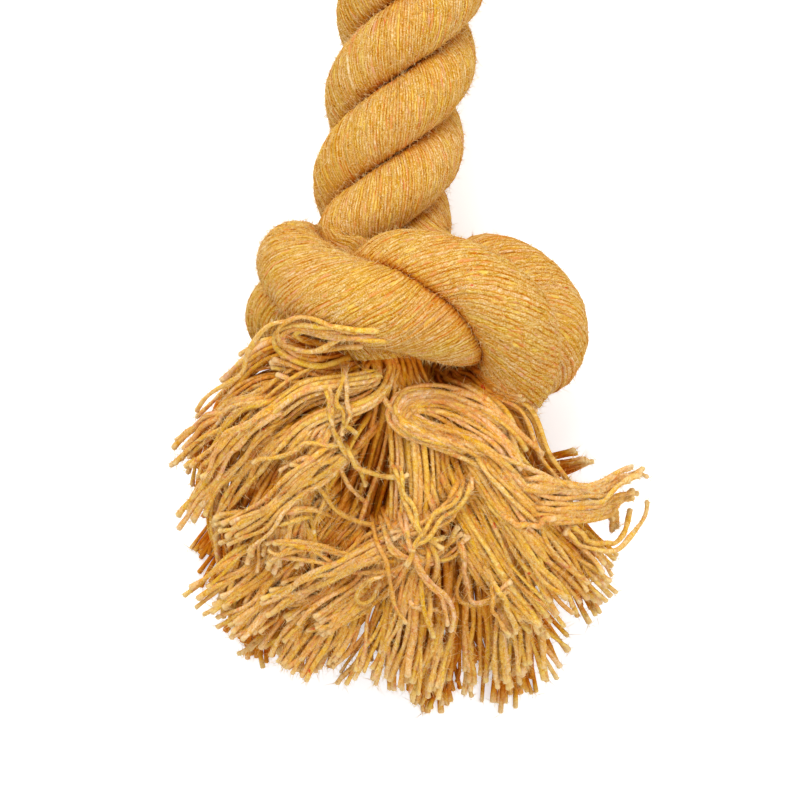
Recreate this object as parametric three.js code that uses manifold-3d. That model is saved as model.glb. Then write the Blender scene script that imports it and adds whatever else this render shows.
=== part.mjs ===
// Rope dog toy: three cotton strands laid into one rope, tied in a wall knot near each end,
// with the six strand ends frayed into two tassels.
// Millimetres, X across, Y along the rope, Z up. The origin is on the floor under the rope's middle.
import * as THREE from 'three';
import { mergeVertices } from 'three/addons/utils/BufferGeometryUtils.js';
import Module from 'manifold-3d';

const wasm = await Module();
wasm.setup();

// Driving dimensions
const STRAND_DIAMETER = 11;
const LAY_RADIUS = 7.3;
const LAY_PITCH_WANTED = 46;
const ROPE_BETWEEN_KNOTS = 195;
const KNOT_ENTRY_LENGTH = 12.6;
const STRAND_GAP = 0.55;
const YARN_GAP = 0.8;
const CUT_END_GAP = 0.35;
const RING_STEP = 4.2;
const SAMPLE_STEP = 2.2;
const LAY_POINT_STEP = 5;
const LOCK_RING_STEP = 5.5;
const FLOOR_CUT_WIDTH = 800;
const FLOOR_CUT_DEPTH = 20;

// Counts and angles
const STRANDS = 3;
const TURN = 2 * Math.PI;
const THIRD_TURN = TURN / STRANDS;
const KNOT_ENTRY_ANGLE = THREE.MathUtils.degToRad(44);
const STRAND_SIDES = 12;
const LOCK_SIDES = 8;
const LEAST_RINGS = 4;
const CURVE_DIVISIONS = 40;
const CURVE_TENSION = 0.5;
const ROOT_CROWDING = 1.6;
const NEARLY_ZERO = 1e-6;

// Shares of the strand's diameter
const REST_FLAT_SHARE = 0.1;
const SELF_REACH_SHARE = 1.7;
const ROOT_REACH_SHARE = 1.1;
const ROOT_STRAIGHT_SHARE = 0.34;
const KNOT_SWELL_LENGTH_SHARE = 1.2;
const LEAST_HALF_WIDTH_SHARE = 0.06;

// Shares of a strand's or lock's own radius
const KNOT_SWELL_SHARE = 1.28;
const LOCK_ROOT_SHARE = 0.62;
const LOCK_TIP_SHARE = 0.85;
const LOCK_SWELL_END_SHARE = 0.4;

const MUSTARD = 0xd9a04a;
const MUSTARD_LIGHT = 0xe0ad5c;
const MUSTARD_DEEP = 0xc98f3c;
const COTTON_ROUGHNESS = 0.95;

// The wall knot. Each strand comes down the core, turns out at the tassel side, runs round the
// outside while it climbs toward the rope, passes over the next strand's shoulder, dives inside
// that strand's loop and leaves through the core as its own tail.
// Points are [across, toward the rope, up] in strand diameters from the rope's axis at the knot.
// The three routes stand in the order in which the lay brings the strands to the knot.
const KNOT_ROUTE_SHARES = [
  [
    [-0.32, 0.84, 0.48], [-0.40, 0.50, 0.36], [-0.46, 0.22, 0.28], [-0.62, 0.02, 0.24],
    [-0.92, -0.12, 0.12], [-1.18, -0.20, -0.12], [-1.31, -0.30, -0.50], [-1.32, -0.42, -0.94],
    [-1.18, -0.53, -1.30], [-0.86, -0.60, -1.60], [-0.32, -0.60, -1.82], [0.32, -0.56, -1.94],
    [0.98, -0.52, -1.94], [1.58, -0.50, -1.74], [2.10, -0.54, -1.42], [2.52, -0.56, -1.02],
    [2.80, -0.42, -0.58], [2.84, -0.06, -0.22], [2.70, 0.30, -0.02], [2.38, 0.62, 0.12],
    [2.04, 0.80, 0.14], [1.74, 0.78, -0.02], [1.56, 0.46, -0.20], [1.48, 0.06, -0.24],
    [1.38, -0.38, -0.16], [1.30, -0.78, -0.06],
  ],
  [
    [0.86, 0.88, 0.16], [0.96, 0.60, 0.26], [1.06, 0.32, 0.38], [1.28, 0.10, 0.50],
    [1.50, -0.02, 0.70], [1.60, -0.10, 0.98], [1.46, -0.14, 1.30], [1.10, -0.12, 1.60],
    [0.60, -0.07, 1.84], [0.12, -0.04, 1.98], [-0.40, 0.02, 1.90], [-0.84, 0.14, 1.58],
    [-1.11, 0.30, 1.14], [-1.26, 0.45, 0.64], [-1.30, 0.58, 0.14], [-1.18, 0.62, -0.34],
    [-0.92, 0.44, -0.66], [-0.66, 0.04, -0.80], [-0.46, -0.45, -0.76], [-0.36, -0.88, -0.66],
  ],
  [
    [-0.06, 0.86, -0.72], [0.14, 0.54, -0.84], [0.32, 0.18, -0.92], [0.52, -0.22, -0.98],
    [0.74, -0.60, -1.02], [1.04, -0.88, -1.02], [1.46, -1.06, -0.92], [1.90, -1.14, -0.66],
    [2.28, -1.08, -0.24], [2.52, -0.88, 0.24], [2.62, -0.56, 0.74], [2.54, -0.20, 1.22],
    [2.32, 0.12, 1.58], [1.96, 0.40, 1.80], [1.50, 0.58, 1.88], [1.00, 0.67, 1.82],
    [0.56, 0.68, 1.62], [0.27, 0.52, 1.36], [0.16, 0.14, 1.14], [0.20, -0.32, 1.04],
    [0.30, -0.78, 0.96],
  ],
];

// The tassel. A lock is a bunch of yarns that falls together. Its root is [across, up] from the
// middle of its strand's cut end, its route is [across, toward the rope, up] from the rope's
// axis at the knot and its half sizes are [width, height], all in strand diameters. Its end is
// the number of the knot route above that it frays from. The lowest locks lie on the floor.
const LOCK_SHARES = [
  { name: 'upper_left_arch', end: 2, root: [-0.29, 0.02], half: [0.54, 0.34], route: [
    [-0.42, -1.32, 1.24], [-1.25, -1.22, 1.02], [-2.03, -1.70, 0.30], [-2.43, -2.51, -0.60],
    [-2.54, -3.14, -1.20]] },
  { name: 'upper_left_fall', end: 2, root: [-0.12, 0.27], half: [0.54, 0.34], route: [
    [-0.08, -1.36, 1.55], [-0.85, -1.65, 1.32], [-1.58, -2.50, 0.60], [-1.87, -3.67, -0.30],
    [-1.95, -4.54, -1.00]] },
  { name: 'upper_left_centre', end: 2, root: [-0.04, -0.27], half: [0.54, 0.34], route: [
    [0.14, -1.52, 0.82], [-0.28, -2.18, 0.92], [-0.77, -3.20, 0.47], [-1.06, -4.30, -0.18],
    [-1.20, -5.16, -0.80]] },
  { name: 'upper_centre', end: 2, root: [0.12, 0.05], half: [0.54, 0.34], route: [
    [0.60, -1.50, 1.35], [0.54, -2.25, 1.05], [0.29, -3.61, 0.50], [0.06, -4.97, -0.30],
    [-0.02, -5.76, -0.95]] },
  { name: 'upper_right_centre', end: 2, root: [0.30, -0.04], half: [0.54, 0.34], route: [
    [0.94, -1.50, 1.00], [1.22, -2.30, 0.90], [1.42, -3.70, 0.40], [1.55, -5.20, -0.40],
    [1.64, -6.12, -1.00]] },
  { name: 'right_front', end: 0, root: [0.14, 0.26], half: [0.54, 0.36], route: [
    [2.02, -1.26, 0.85], [2.62, -1.52, 0.98], [3.18, -2.30, 0.60], [3.86, -3.22, -0.10],
    [4.43, -4.02, -0.80]] },
  { name: 'right_centre', end: 0, root: [-0.22, 0.20], half: [0.54, 0.36], route: [
    [1.56, -1.44, 0.60], [2.08, -2.10, 0.90], [2.66, -3.12, 0.60], [3.30, -4.17, -0.20],
    [3.78, -4.97, -0.95]] },
  { name: 'right_side', end: 0, root: [0.28, -0.04], half: [0.54, 0.34], route: [
    [1.94, -1.78, -0.10], [2.79, -2.16, 0.02], [3.56, -2.92, -0.40], [4.34, -3.72, -1.10],
    [4.78, -4.24, -1.55]] },
  { name: 'right_spray', end: 0, root: [-0.14, -0.18], half: [0.42, 0.32], route: [
    [1.08, -1.50, -0.12], [1.40, -2.10, -0.70], [2.10, -2.50, -1.15], [2.95, -2.55, -1.25],
    [3.75, -2.50, -1.20], [4.35, -2.38, -1.00], [4.90, -2.20, -1.05]] },
  { name: 'lower_left', end: 1, root: [-0.28, 0.08], half: [0.60, 0.38], route: [
    [-0.58, -1.70, -0.95], [-1.08, -2.87, -1.52], [-1.48, -4.15, -2.00], [-1.76, -5.02, -2.22],
    [-1.90, -5.60, -2.24]] },
  { name: 'lower_left_centre', end: 1, root: [-0.14, -0.24], half: [0.60, 0.38], route: [
    [-0.24, -1.85, -1.25], [-0.38, -3.08, -1.75], [-0.56, -4.44, -2.05], [-0.70, -5.38, -2.22],
    [-0.73, -5.98, -2.24]] },
  { name: 'lower_centre', end: 1, root: [-0.02, 0.28], half: [0.60, 0.38], route: [
    [0.26, -1.85, -0.80], [0.48, -3.12, -1.40], [0.56, -4.53, -1.90], [0.60, -5.61, -2.20],
    [0.72, -6.42, -2.24]] },
  { name: 'lower_right_centre', end: 1, root: [0.28, 0.06], half: [0.60, 0.38], route: [
    [0.86, -1.75, -0.95], [1.38, -2.92, -1.45], [1.82, -4.26, -1.90], [2.14, -5.45, -2.20],
    [2.32, -6.27, -2.24]] },
  { name: 'lower_right', end: 1, root: [0.16, -0.24], half: [0.60, 0.38], route: [
    [1.10, -1.78, -1.42], [2.18, -2.74, -1.70], [2.96, -3.87, -1.98], [3.38, -4.86, -2.22],
    [3.60, -5.69, -2.24]] },
];

const strandNumbers = [...Array(STRANDS).keys()];
const strandRadius = STRAND_DIAMETER / 2;
const restFlatDepth = STRAND_DIAMETER * REST_FLAT_SHARE;

// Rope lay: the turns between the knots are whole thirds, so that each strand meets its route
const halfRope = ROPE_BETWEEN_KNOTS / 2;
const layThirds = Math.round((TURN * halfRope / LAY_PITCH_WANTED - KNOT_ENTRY_ANGLE) / THIRD_TURN);
const halfLayAngle = KNOT_ENTRY_ANGLE + layThirds * THIRD_TURN;

// The route that strand k takes at the near end (side 1) or the far end (side -1)
function routeIndex(strand, side) {
  const place = (side * strand - layThirds) % STRANDS;
  return (place + STRANDS) % STRANDS;
}

// A point of the rope lay, the height measured from the rope's axis
function layPoint(strand, along) {
  const angle = strand * THIRD_TURN + halfLayAngle * along / halfRope;
  return new THREE.Vector3(LAY_RADIUS * Math.sin(angle), along, LAY_RADIUS * Math.cos(angle));
}

// A point of the near knot or tassel, or the same point at the far end, half a turn round Z
function endPoint(shares, side) {
  const knotCentre = -(halfRope + KNOT_ENTRY_LENGTH);
  const point = new THREE.Vector3(...shares).multiplyScalar(STRAND_DIAMETER);
  point.y += knotCentre;
  return side > 0 ? point : new THREE.Vector3(-point.x, -point.y, point.z);
}

// Places on a smooth curve through the points, evenly spaced unless crowding puts more of them
// near its start
function spineThrough(points, step, crowding = 1) {
  const curve = new THREE.CatmullRomCurve3(points, false, 'catmullrom', CURVE_TENSION);
  curve.arcLengthDivisions = points.length * CURVE_DIVISIONS;
  const count = Math.max(LEAST_RINGS, Math.round(curve.getLength() / step));
  const places = [];
  for (let i = 0; i <= count; i += 1) {
    places.push(curve.getPointAt((i / count) ** crowding));
  }
  return places;
}

// The whole centreline of one strand, from its near cut end to its far one
function strandPoints(strand) {
  const near = KNOT_ROUTE_SHARES[routeIndex(strand, 1)].map((shares) => endPoint(shares, 1));
  const far = KNOT_ROUTE_SHARES[routeIndex(strand, -1)].map((shares) => endPoint(shares, -1));
  const steps = Math.round(ROPE_BETWEEN_KNOTS / LAY_POINT_STEP);
  const lay = [];
  for (let i = 0; i <= steps; i += 1) {
    lay.push(layPoint(strand, -halfRope + ROPE_BETWEEN_KNOTS * i / steps));
  }
  return [...near.reverse(), ...lay, ...far];
}

// Directions across a curve that turn with it as little as they can; the curve's first ring
// stands square to its start, where one is given
function acrossDirections(spine, start) {
  const frames = [];
  let across = new THREE.Vector3(0, 0, 1);
  spine.forEach((point, i) => {
    const before = spine[Math.max(i - 1, 0)];
    const after = spine[Math.min(i + 1, spine.length - 1)];
    const along = i === 0 && start ? start : after.clone().sub(before).normalize();
    across = across.clone().addScaledVector(along, -across.dot(along));
    if (across.lengthSq() < NEARLY_ZERO) {
      across.set(1, 0, 0).addScaledVector(along, -along.x);
    }
    across.normalize();
    frames.push({ across, beside: along.clone().cross(across) });
  });
  return frames;
}

// How far a surface may reach from a centre before it meets its neighbours
function pressedReach(centre, direction, radius, ownRadius, equals, walls, gap) {
  let reach = radius;
  for (const { point, size } of equals) {
    const toward = point.clone().sub(centre);
    const facing = toward.dot(direction);
    const distance = toward.length();
    if (facing > 0 && distance < radius + size + STRAND_DIAMETER) {
      const plane = (distance * distance + ownRadius * ownRadius - size * size) / 2 / distance;
      reach = Math.min(reach, (plane - gap / 2) * distance / facing);
    }
  }
  for (const { point, size } of walls) {
    const toward = point.clone().sub(centre);
    const facing = toward.dot(direction);
    const distance = toward.length();
    if (facing > 0 && distance < radius + size + STRAND_DIAMETER) {
      reach = Math.min(reach, (distance - size - gap) * distance / facing);
    }
  }
  return Math.max(reach, STRAND_DIAMETER * LEAST_HALF_WIDTH_SHARE);
}

// A closed tube round a spine; reachAt gives the distance from a ring's centre to its surface
function tubeGeometry(spine, sides, reachAt, start) {
  const frames = acrossDirections(spine, start);
  const positions = [];
  spine.forEach((centre, i) => {
    for (let j = 0; j < sides; j += 1) {
      const angle = TURN * j / sides;
      const direction = frames[i].across.clone().multiplyScalar(Math.cos(angle))
        .addScaledVector(frames[i].beside, Math.sin(angle));
      const point = centre.clone().addScaledVector(direction, reachAt(i, direction));
      positions.push(point.x, point.y, point.z);
    }
  });
  const first = spine[0];
  const last = spine[spine.length - 1];
  positions.push(first.x, first.y, first.z, last.x, last.y, last.z);
  const index = [];
  const firstCentre = spine.length * sides;
  const lastRing = (spine.length - 1) * sides;
  for (let j = 0; j < sides; j += 1) {
    const next = (j + 1) % sides;
    for (let i = 0; i < spine.length - 1; i += 1) {
      const ring = i * sides;
      index.push(ring + j, ring + next, ring + sides + j);
      index.push(ring + next, ring + sides + next, ring + sides + j);
    }
    index.push(firstCentre, next, j);
    index.push(firstCentre + 1, lastRing + j, lastRing + next);
  }
  const geometry = new THREE.BufferGeometry();
  geometry.setAttribute('position', new THREE.Float32BufferAttribute(positions, 3));
  geometry.setIndex(index);
  return geometry;
}

function toSolid(geometry) {
  const bare = geometry.clone();
  bare.deleteAttribute('normal');
  bare.deleteAttribute('uv');
  const merged = mergeVertices(bare);
  return new wasm.Manifold(new wasm.Mesh({
    numProp: 3,
    vertProperties: new Float32Array(merged.attributes.position.array),
    triVerts: new Uint32Array(merged.index.array),
  }));
}

function fromSolid(solid) {
  const mesh = solid.getMesh();
  const geometry = new THREE.BufferGeometry();
  geometry.setAttribute('position', new THREE.Float32BufferAttribute(mesh.vertProperties, 3));
  geometry.setIndex(Array.from(mesh.triVerts));
  geometry.computeVertexNormals();
  return geometry;
}

// Everything below the floor, which flattens what lies on it
function belowFloor() {
  const block = new THREE.BoxGeometry(FLOOR_CUT_WIDTH, FLOOR_CUT_WIDTH, FLOOR_CUT_DEPTH);
  block.translate(0, 0, -FLOOR_CUT_DEPTH / 2);
  return toSolid(block);
}

function cottonMaterial(color) {
  return new THREE.MeshStandardMaterial({ color, roughness: COTTON_ROUGHNESS, metalness: 0 });
}

// Strand centrelines, lifted so that the lowest turn of a knot is flattened on the floor
const rawPoints = strandNumbers.map(strandPoints);
const lowest = Math.min(...rawPoints.flatMap((points) => spineThrough(points, SAMPLE_STEP))
  .map((point) => point.z));
const axisHeight = strandRadius * KNOT_SWELL_SHARE - restFlatDepth - lowest;
const lift = new THREE.Vector3(0, 0, axisHeight);
rawPoints.forEach((points) => points.forEach((point) => point.add(lift)));
const spines = rawPoints.map((points) => spineThrough(points, RING_STEP));

// A strand swells where the lay no longer holds it
function strandRadiusAt(point) {
  const past = (Math.abs(point.y) - halfRope) / (STRAND_DIAMETER * KNOT_SWELL_LENGTH_SHARE);
  const swell = THREE.MathUtils.smoothstep(past, 0, 1) * (KNOT_SWELL_SHARE - 1);
  return strandRadius * (1 + swell);
}

const samples = rawPoints.map((points, strand) => spineThrough(points, SAMPLE_STEP)
  .map((point) => ({ point, size: strandRadiusAt(point), strand })));

function strandGeometry(strand) {
  const spine = spines[strand];
  const others = samples.filter((list, k) => k !== strand).flat();
  const own = samples[strand];
  const keepOff = STRAND_DIAMETER * SELF_REACH_SHARE;
  const ownLength = SAMPLE_STEP * (own.length - 1);
  return tubeGeometry(spine, STRAND_SIDES, (i, direction) => {
    const along = ownLength * i / (spine.length - 1);
    const folded = own.filter((sample, k) => (
      Math.abs(ownLength * k / (own.length - 1) - along) > keepOff));
    const radius = strandRadiusAt(spine[i]);
    return pressedReach(spine[i], direction, radius, radius, [...others, ...folded], [],
      STRAND_GAP);
  });
}

// The strand that takes a route, the middle of its cut end and the way that it points
function cutEnd(route, side) {
  const strand = strandNumbers.find((k) => routeIndex(k, side) === route);
  const spine = spines[strand];
  const [end, before] = side > 0 ? spine : spine.slice(-2).reverse();
  return { strand, end, along: end.clone().sub(before).normalize() };
}

// The spines of all locks of one tassel, each starting square to its strand's cut end
function tasselLocks(side) {
  return LOCK_SHARES.map((lock) => {
    const { strand, end, along } = cutEnd(lock.end, side);
    const across = new THREE.Vector3(side, 0, 0).addScaledVector(along, -side * along.x).normalize();
    const up = along.clone().cross(across);
    const root = end.clone().addScaledVector(along, CUT_END_GAP)
      .addScaledVector(across, STRAND_DIAMETER * lock.root[0])
      .addScaledVector(up, STRAND_DIAMETER * lock.root[1]);
    const straight = root.clone().addScaledVector(along, STRAND_DIAMETER * ROOT_STRAIGHT_SHARE);
    const points = [root, straight, ...lock.route.map((shares) => endPoint(shares, side).add(lift))];
    const spine = spineThrough(points, LOCK_RING_STEP, ROOT_CROWDING);
    const fine = spineThrough(points, SAMPLE_STEP);
    const size = STRAND_DIAMETER * (lock.half[0] + lock.half[1]) / 2;
    return { ...lock, strand, spine, fine, size, start: along };
  });
}

function lockGrowth(share) {
  const open = THREE.MathUtils.smoothstep(share, 0, LOCK_SWELL_END_SHARE);
  const close = THREE.MathUtils.smoothstep(share, LOCK_SWELL_END_SHARE, 1);
  return LOCK_ROOT_SHARE + (1 - LOCK_ROOT_SHARE) * open - (1 - LOCK_TIP_SHARE) * close;
}

function lockGeometry(lock, locks, walls) {
  const halfWidth = STRAND_DIAMETER * lock.half[0];
  const halfHeight = STRAND_DIAMETER * lock.half[1];
  const equals = locks.filter((other) => other !== lock).flatMap((other) => (
    other.fine.map((point, i) => (
      { point, size: other.size * lockGrowth(i / (other.fine.length - 1)) }))));
  const root = lock.spine[0];
  const rootReach = STRAND_DIAMETER * ROOT_REACH_SHARE;
  const solidWalls = walls.filter(({ point, strand }) => (
    strand !== lock.strand || point.distanceTo(root) > rootReach));
  return tubeGeometry(lock.spine, LOCK_SIDES, (i, direction) => {
    const growth = lockGrowth((i / (lock.spine.length - 1)) ** ROOT_CROWDING);
    const flatness = Math.hypot(Math.hypot(direction.x, direction.y) / halfWidth,
      direction.z / halfHeight);
    return pressedReach(lock.spine[i], direction, growth / flatness, lock.size * growth, equals,
      solidWalls, YARN_GAP);
  }, lock.start);
}

const toy = new THREE.Group();
const floor = belowFloor();
const strandColors = [MUSTARD, MUSTARD_LIGHT, MUSTARD_DEEP];

function addPiece(name, geometry, color) {
  const mesh = new THREE.Mesh(fromSolid(toSolid(geometry).subtract(floor)), cottonMaterial(color));
  mesh.name = name;
  toy.add(mesh);
}

strandNumbers.forEach((strand) => {
  addPiece(`strand_${strand + 1}`, strandGeometry(strand), strandColors[strand]);
});

const walls = samples.flat();
for (const [end, side] of [['near', 1], ['far', -1]]) {
  const locks = tasselLocks(side);
  locks.forEach((lock) => {
    const name = `${end}_tassel_${lock.name}`;
    addPiece(name, lockGeometry(lock, locks, walls), strandColors[lock.strand]);
  });
}

export default toy;
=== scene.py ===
"""Dress the rope dog toy: three laid cotton strands, two wall knots and two frayed tassels.

The toy lies on the floor with its rope along Y. Lengths are in millimetres until a mesh is made,
and a mesh is in metres, as the frame is.
"""

from __future__ import annotations

import itertools
import logging
import math
from dataclasses import dataclass, field
from enum import Enum

import bmesh
import bpy
import numpy as np
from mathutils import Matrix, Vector

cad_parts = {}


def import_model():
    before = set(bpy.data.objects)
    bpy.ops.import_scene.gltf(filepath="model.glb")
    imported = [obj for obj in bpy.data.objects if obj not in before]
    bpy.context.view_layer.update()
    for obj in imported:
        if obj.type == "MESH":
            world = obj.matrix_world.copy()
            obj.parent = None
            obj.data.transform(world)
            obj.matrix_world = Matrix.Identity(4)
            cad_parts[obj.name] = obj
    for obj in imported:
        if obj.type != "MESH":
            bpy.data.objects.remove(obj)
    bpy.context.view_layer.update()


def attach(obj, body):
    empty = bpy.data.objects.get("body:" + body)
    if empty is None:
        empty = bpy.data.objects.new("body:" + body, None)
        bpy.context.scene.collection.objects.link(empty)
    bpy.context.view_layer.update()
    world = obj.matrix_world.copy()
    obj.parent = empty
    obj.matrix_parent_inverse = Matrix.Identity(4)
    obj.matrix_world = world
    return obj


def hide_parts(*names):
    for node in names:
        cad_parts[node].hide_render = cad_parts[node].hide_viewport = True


LOG = logging.getLogger("rope_toy")
MM = 0.001
TURN = 2.0 * math.pi
GOLDEN_ANGLE = 2.39996
FAR_OFF = 99.0
SPAN_STEPS = 24
Array = np.ndarray
Colour = tuple[float, float, float]
Place = tuple[float, float, float]


class End(Enum):
    """The two ends of the toy; the value is the sign that a near point's X and Y take there."""

    NEAR = 1.0
    FAR = -1.0

    @property
    def label(self) -> str:
        """The end's name in the frame's node names."""
        return self.name.lower()


class Spun(Enum):
    """How the yarns of a piece lie, which decides the pattern of its finish."""

    IN_STRAND = "in_strand"
    LOOSE = "loose"


# Curves and tubes.


def add_object(name: str, data: bpy.types.ID) -> bpy.types.Object:
    """Return a new object that shows the data, linked to the scene."""
    thing = bpy.data.objects.new(name, data)
    bpy.context.scene.collection.objects.link(thing)
    return thing


def smooth_curve(points: Array, count: int) -> Array:
    """Return evenly spaced places along a smooth curve through control points, one a row."""
    ends = np.vstack([2 * points[0] - points[1], points, 2 * points[-1] - points[-2]])
    t = np.linspace(0, 1, SPAN_STEPS, endpoint=False)[:, None]
    spans = []
    for a, b, c, d in zip(ends[:-3], ends[1:-2], ends[2:-1], ends[3:]):
        spans.append(b + 0.5 * t * (c - a + t * (2 * a - 5 * b + 4 * c - d + t * (3 * (b - c) + d - a))))
    dense = np.vstack(spans + [points[-1:]])
    travel = path_travel(dense)
    return along_path(dense, travel, np.linspace(0, 1, count) * travel[-1])


def along_path(path: Array, travel: Array, wanted: Array) -> Array:
    """Return the values of a path at wanted distances along it."""
    return np.stack([np.interp(wanted, travel, path[:, k]) for k in range(3)], axis=-1)


def path_travel(path: Array) -> Array:
    """Return the distance along a path, or along each of many, at every point of it."""
    steps = np.linalg.norm(np.diff(path, axis=-2), axis=-1)
    return np.concatenate([np.zeros(steps.shape[:-1] + (1,)), np.cumsum(steps, axis=-1)], axis=-1)


def unit(vectors: Array) -> Array:
    """Return vectors made one long."""
    return vectors / np.maximum(np.linalg.norm(vectors, axis=-1, keepdims=True), 1e-9)


def square_to(vectors: Array, along: Array) -> Array:
    """Return vectors of length one, made square to directions, one a row."""
    return unit(vectors - along * np.sum(vectors * along, axis=1, keepdims=True))


def path_frames(paths: Array) -> tuple[Array, Array, Array]:
    """Return directions along, across and beside paths, which turn as little as the paths allow.

    Args:
        paths: Many paths of as many points each, shaped (paths, points, 3).

    Returns:
        The three directions, each shaped as the paths.
    """
    along = unit(np.gradient(paths, axis=1))
    across = np.empty_like(paths)
    start = np.tile([0.0, 0.0, 1.0], (len(paths), 1))
    start[np.abs(along[:, 0, 2]) > 0.9] = [1.0, 0.0, 0.0]
    for i in range(paths.shape[1]):
        start = square_to(start, along[:, i])
        across[:, i] = start
    return along, across, np.cross(along, across)


def soft_least(a: Array, b: Array, rounding: float) -> Array:
    """Return the lesser of two lengths, with a rounded change from one to the other."""
    h = np.maximum(rounding - np.abs(a - b), 0.0)
    return np.minimum(a, b) - h * h / (4.0 * rounding)


def wander(rng: np.random.Generator, count: int, points: int, knots: int) -> Array:
    """Return smooth random wandering with a spread of about one.

    Args:
        rng: The source of chance.
        count: How many wanderings.
        points: Points along each.
        knots: Random values that each one passes near.

    Returns:
        The wandering, shaped (count, points, 3).
    """
    values = rng.normal(size=(count, knots + 3, 3))
    place = np.linspace(0, knots - 1e-6, points)
    cell = place.astype(int)
    t = (place - cell)[None, :, None]
    a, b, c, d = (values[:, cell + k] for k in range(4))
    first_half = (1 - t) ** 3 * a + (3 * t**3 - 6 * t**2 + 4) * b
    return (first_half + (-3 * t**3 + 3 * t**2 + 3 * t + 1) * c + t**3 * d) / 4.0


def eased(share: Array) -> Array:
    """Return a share of 0 to 1 that starts and ends gently."""
    return share * share * (3 - 2 * share)


def tube_surface(paths: Array, radii: Array, sides: int) -> Array:
    """Return the surface points of round tubes.

    Args:
        paths: The tubes' centre lines, shaped (tubes, rings, 3).
        radii: Their radii, shaped (tubes, rings).
        sides: Points around each ring.

    Returns:
        The points, shaped (tubes, rings, sides, 3).
    """
    _, across, beside = path_frames(paths)
    angle = (TURN * np.arange(sides) / sides)[:, None]
    spoke = np.cos(angle) * across[:, :, None] + np.sin(angle) * beside[:, :, None]
    return paths[:, :, None] + spoke * radii[..., None, None]


def rolled_tubes(
    name: str, surface: Array, travel: Array, numbers: Array, yarns: float, painted_shade_and_fray: Array
) -> bpy.types.Object:
    """Make closed tubes from one woven grid, slit between the tubes, rolled and sewn.

    Args:
        name: The piece's name.
        surface: Surface points in millimetres, shaped (tubes, rings, sides, 3).
        travel: The distance along each tube, shaped (tubes, rings).
        numbers: The first yarn number of each tube, for its map.
        yarns: How many yarns the map counts round a tube.
        painted_shade_and_fray: How much painted shade each point gets, 0 in the open and 1 deep inside,
            and -1 at a cut end, which is painted paler, shaped (tubes, rings, sides).

    Returns:
        The new object, linked to the scene, with a map named yarn.
    """
    tubes, rings, sides, _ = surface.shape
    wide = sides + 1
    columns = tubes * wide
    bm = bmesh.new()
    bmesh.ops.create_grid(bm, x_segments=columns - 1, y_segments=rings - 1, size=0.5)
    closed = np.concatenate([surface, surface[:, :, :1]], axis=2) * MM
    by_row = closed.transpose(1, 0, 2, 3).reshape(-1, 3)
    column_layer = bm.verts.layers.int.new("column")
    row_layer = bm.verts.layers.int.new("row")
    for vert in bm.verts:
        column = round((vert.co.x + 0.5) * (columns - 1))
        row = round((vert.co.y + 0.5) * (rings - 1))
        vert[column_layer] = column
        vert[row_layer] = row
        vert.co = by_row[row * columns + column]
    if tubes > 1:
        slits = []
        for face in bm.faces:
            if min(v[column_layer] for v in face.verts) % wide == sides:
                slits.append(face)
        bmesh.ops.delete(bm, geom=slits, context="FACES")
    seam = {(v[column_layer], v[row_layer]): v for v in bm.verts if v[column_layer] % wide in (0, sides)}
    sewn = {v: seam[(column - sides, row)] for (column, row), v in seam.items() if column % wide == sides}
    bmesh.ops.weld_verts(bm, targetmap=sewn)
    open_edges = [edge for edge in bm.edges if edge.is_boundary]
    bmesh.ops.holes_fill(bm, edges=open_edges, sides=0)
    bmesh.ops.recalc_face_normals(bm, faces=bm.faces)
    mesh = bpy.data.meshes.new(name)
    bm.to_mesh(mesh)
    bm.free()
    column, row = (taken_values(mesh, key) for key in ("column", "row"))
    tube, side = column // wide, column % wide
    values = painted_shade_and_fray[tube, row, side].astype(np.float32)
    mesh.attributes.new("painted_shade_and_fray", "FLOAT", "POINT").data.foreach_set("value", values)
    map_yarns(mesh, side, sides, numbers[tube], yarns, travel[tube, row])
    mesh.polygons.foreach_set("use_smooth", np.ones(len(mesh.polygons), dtype=bool))
    return add_object(name, mesh)


def taken_values(mesh: bpy.types.Mesh, key: str) -> Array:
    """Return the whole numbers that a mesh keeps for its points under a name, and drop them there."""
    values = np.empty(len(mesh.vertices), dtype=np.int32)
    mesh.attributes[key].data.foreach_get("value", values)
    mesh.attributes.remove(mesh.attributes[key])
    return values


def map_yarns(
    mesh: bpy.types.Mesh, side: Array, sides: int, numbers: Array, yarns: float, travel: Array
) -> None:
    """Give a mesh of rolled tubes its yarn map: the yarn number across, millimetres along.

    Args:
        mesh: The mesh.
        side: Each point's place around its tube.
        sides: Sides of a tube.
        numbers: The first yarn number of each point's tube.
        yarns: How many yarns the map counts round a tube.
        travel: Each point's distance along its tube.
    """
    corner = np.empty(len(mesh.loops), dtype=np.int32)
    mesh.loops.foreach_get("vertex_index", corner)
    totals = np.empty(len(mesh.polygons), dtype=np.int32)
    mesh.polygons.foreach_get("loop_total", totals)
    face = np.repeat(np.arange(len(totals)), totals)
    side = side[corner].astype(float)
    widest = np.zeros(len(totals))
    np.maximum.at(widest, face, side)
    side[(totals == 4)[face] & (widest[face] == sides - 1) & (side == 0)] = sides
    uv = np.stack([numbers[corner] + side / sides * yarns, travel[corner]], axis=1)
    layer = mesh.uv_layers.new(name="yarn")
    layer.data.foreach_set("uv", uv.astype(np.float32).ravel())


# Finishes.


def srgb(red: int, green: int, blue: int) -> Colour:
    """Return the linear colour of a screen colour of 0 to 255 a channel."""

    def linear(value: float) -> float:
        """Return one channel, made linear."""
        return value / 12.92 if value <= 0.04045 else ((value + 0.055) / 1.055) ** 2.4

    return linear(red / 255), linear(green / 255), linear(blue / 255)


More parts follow.
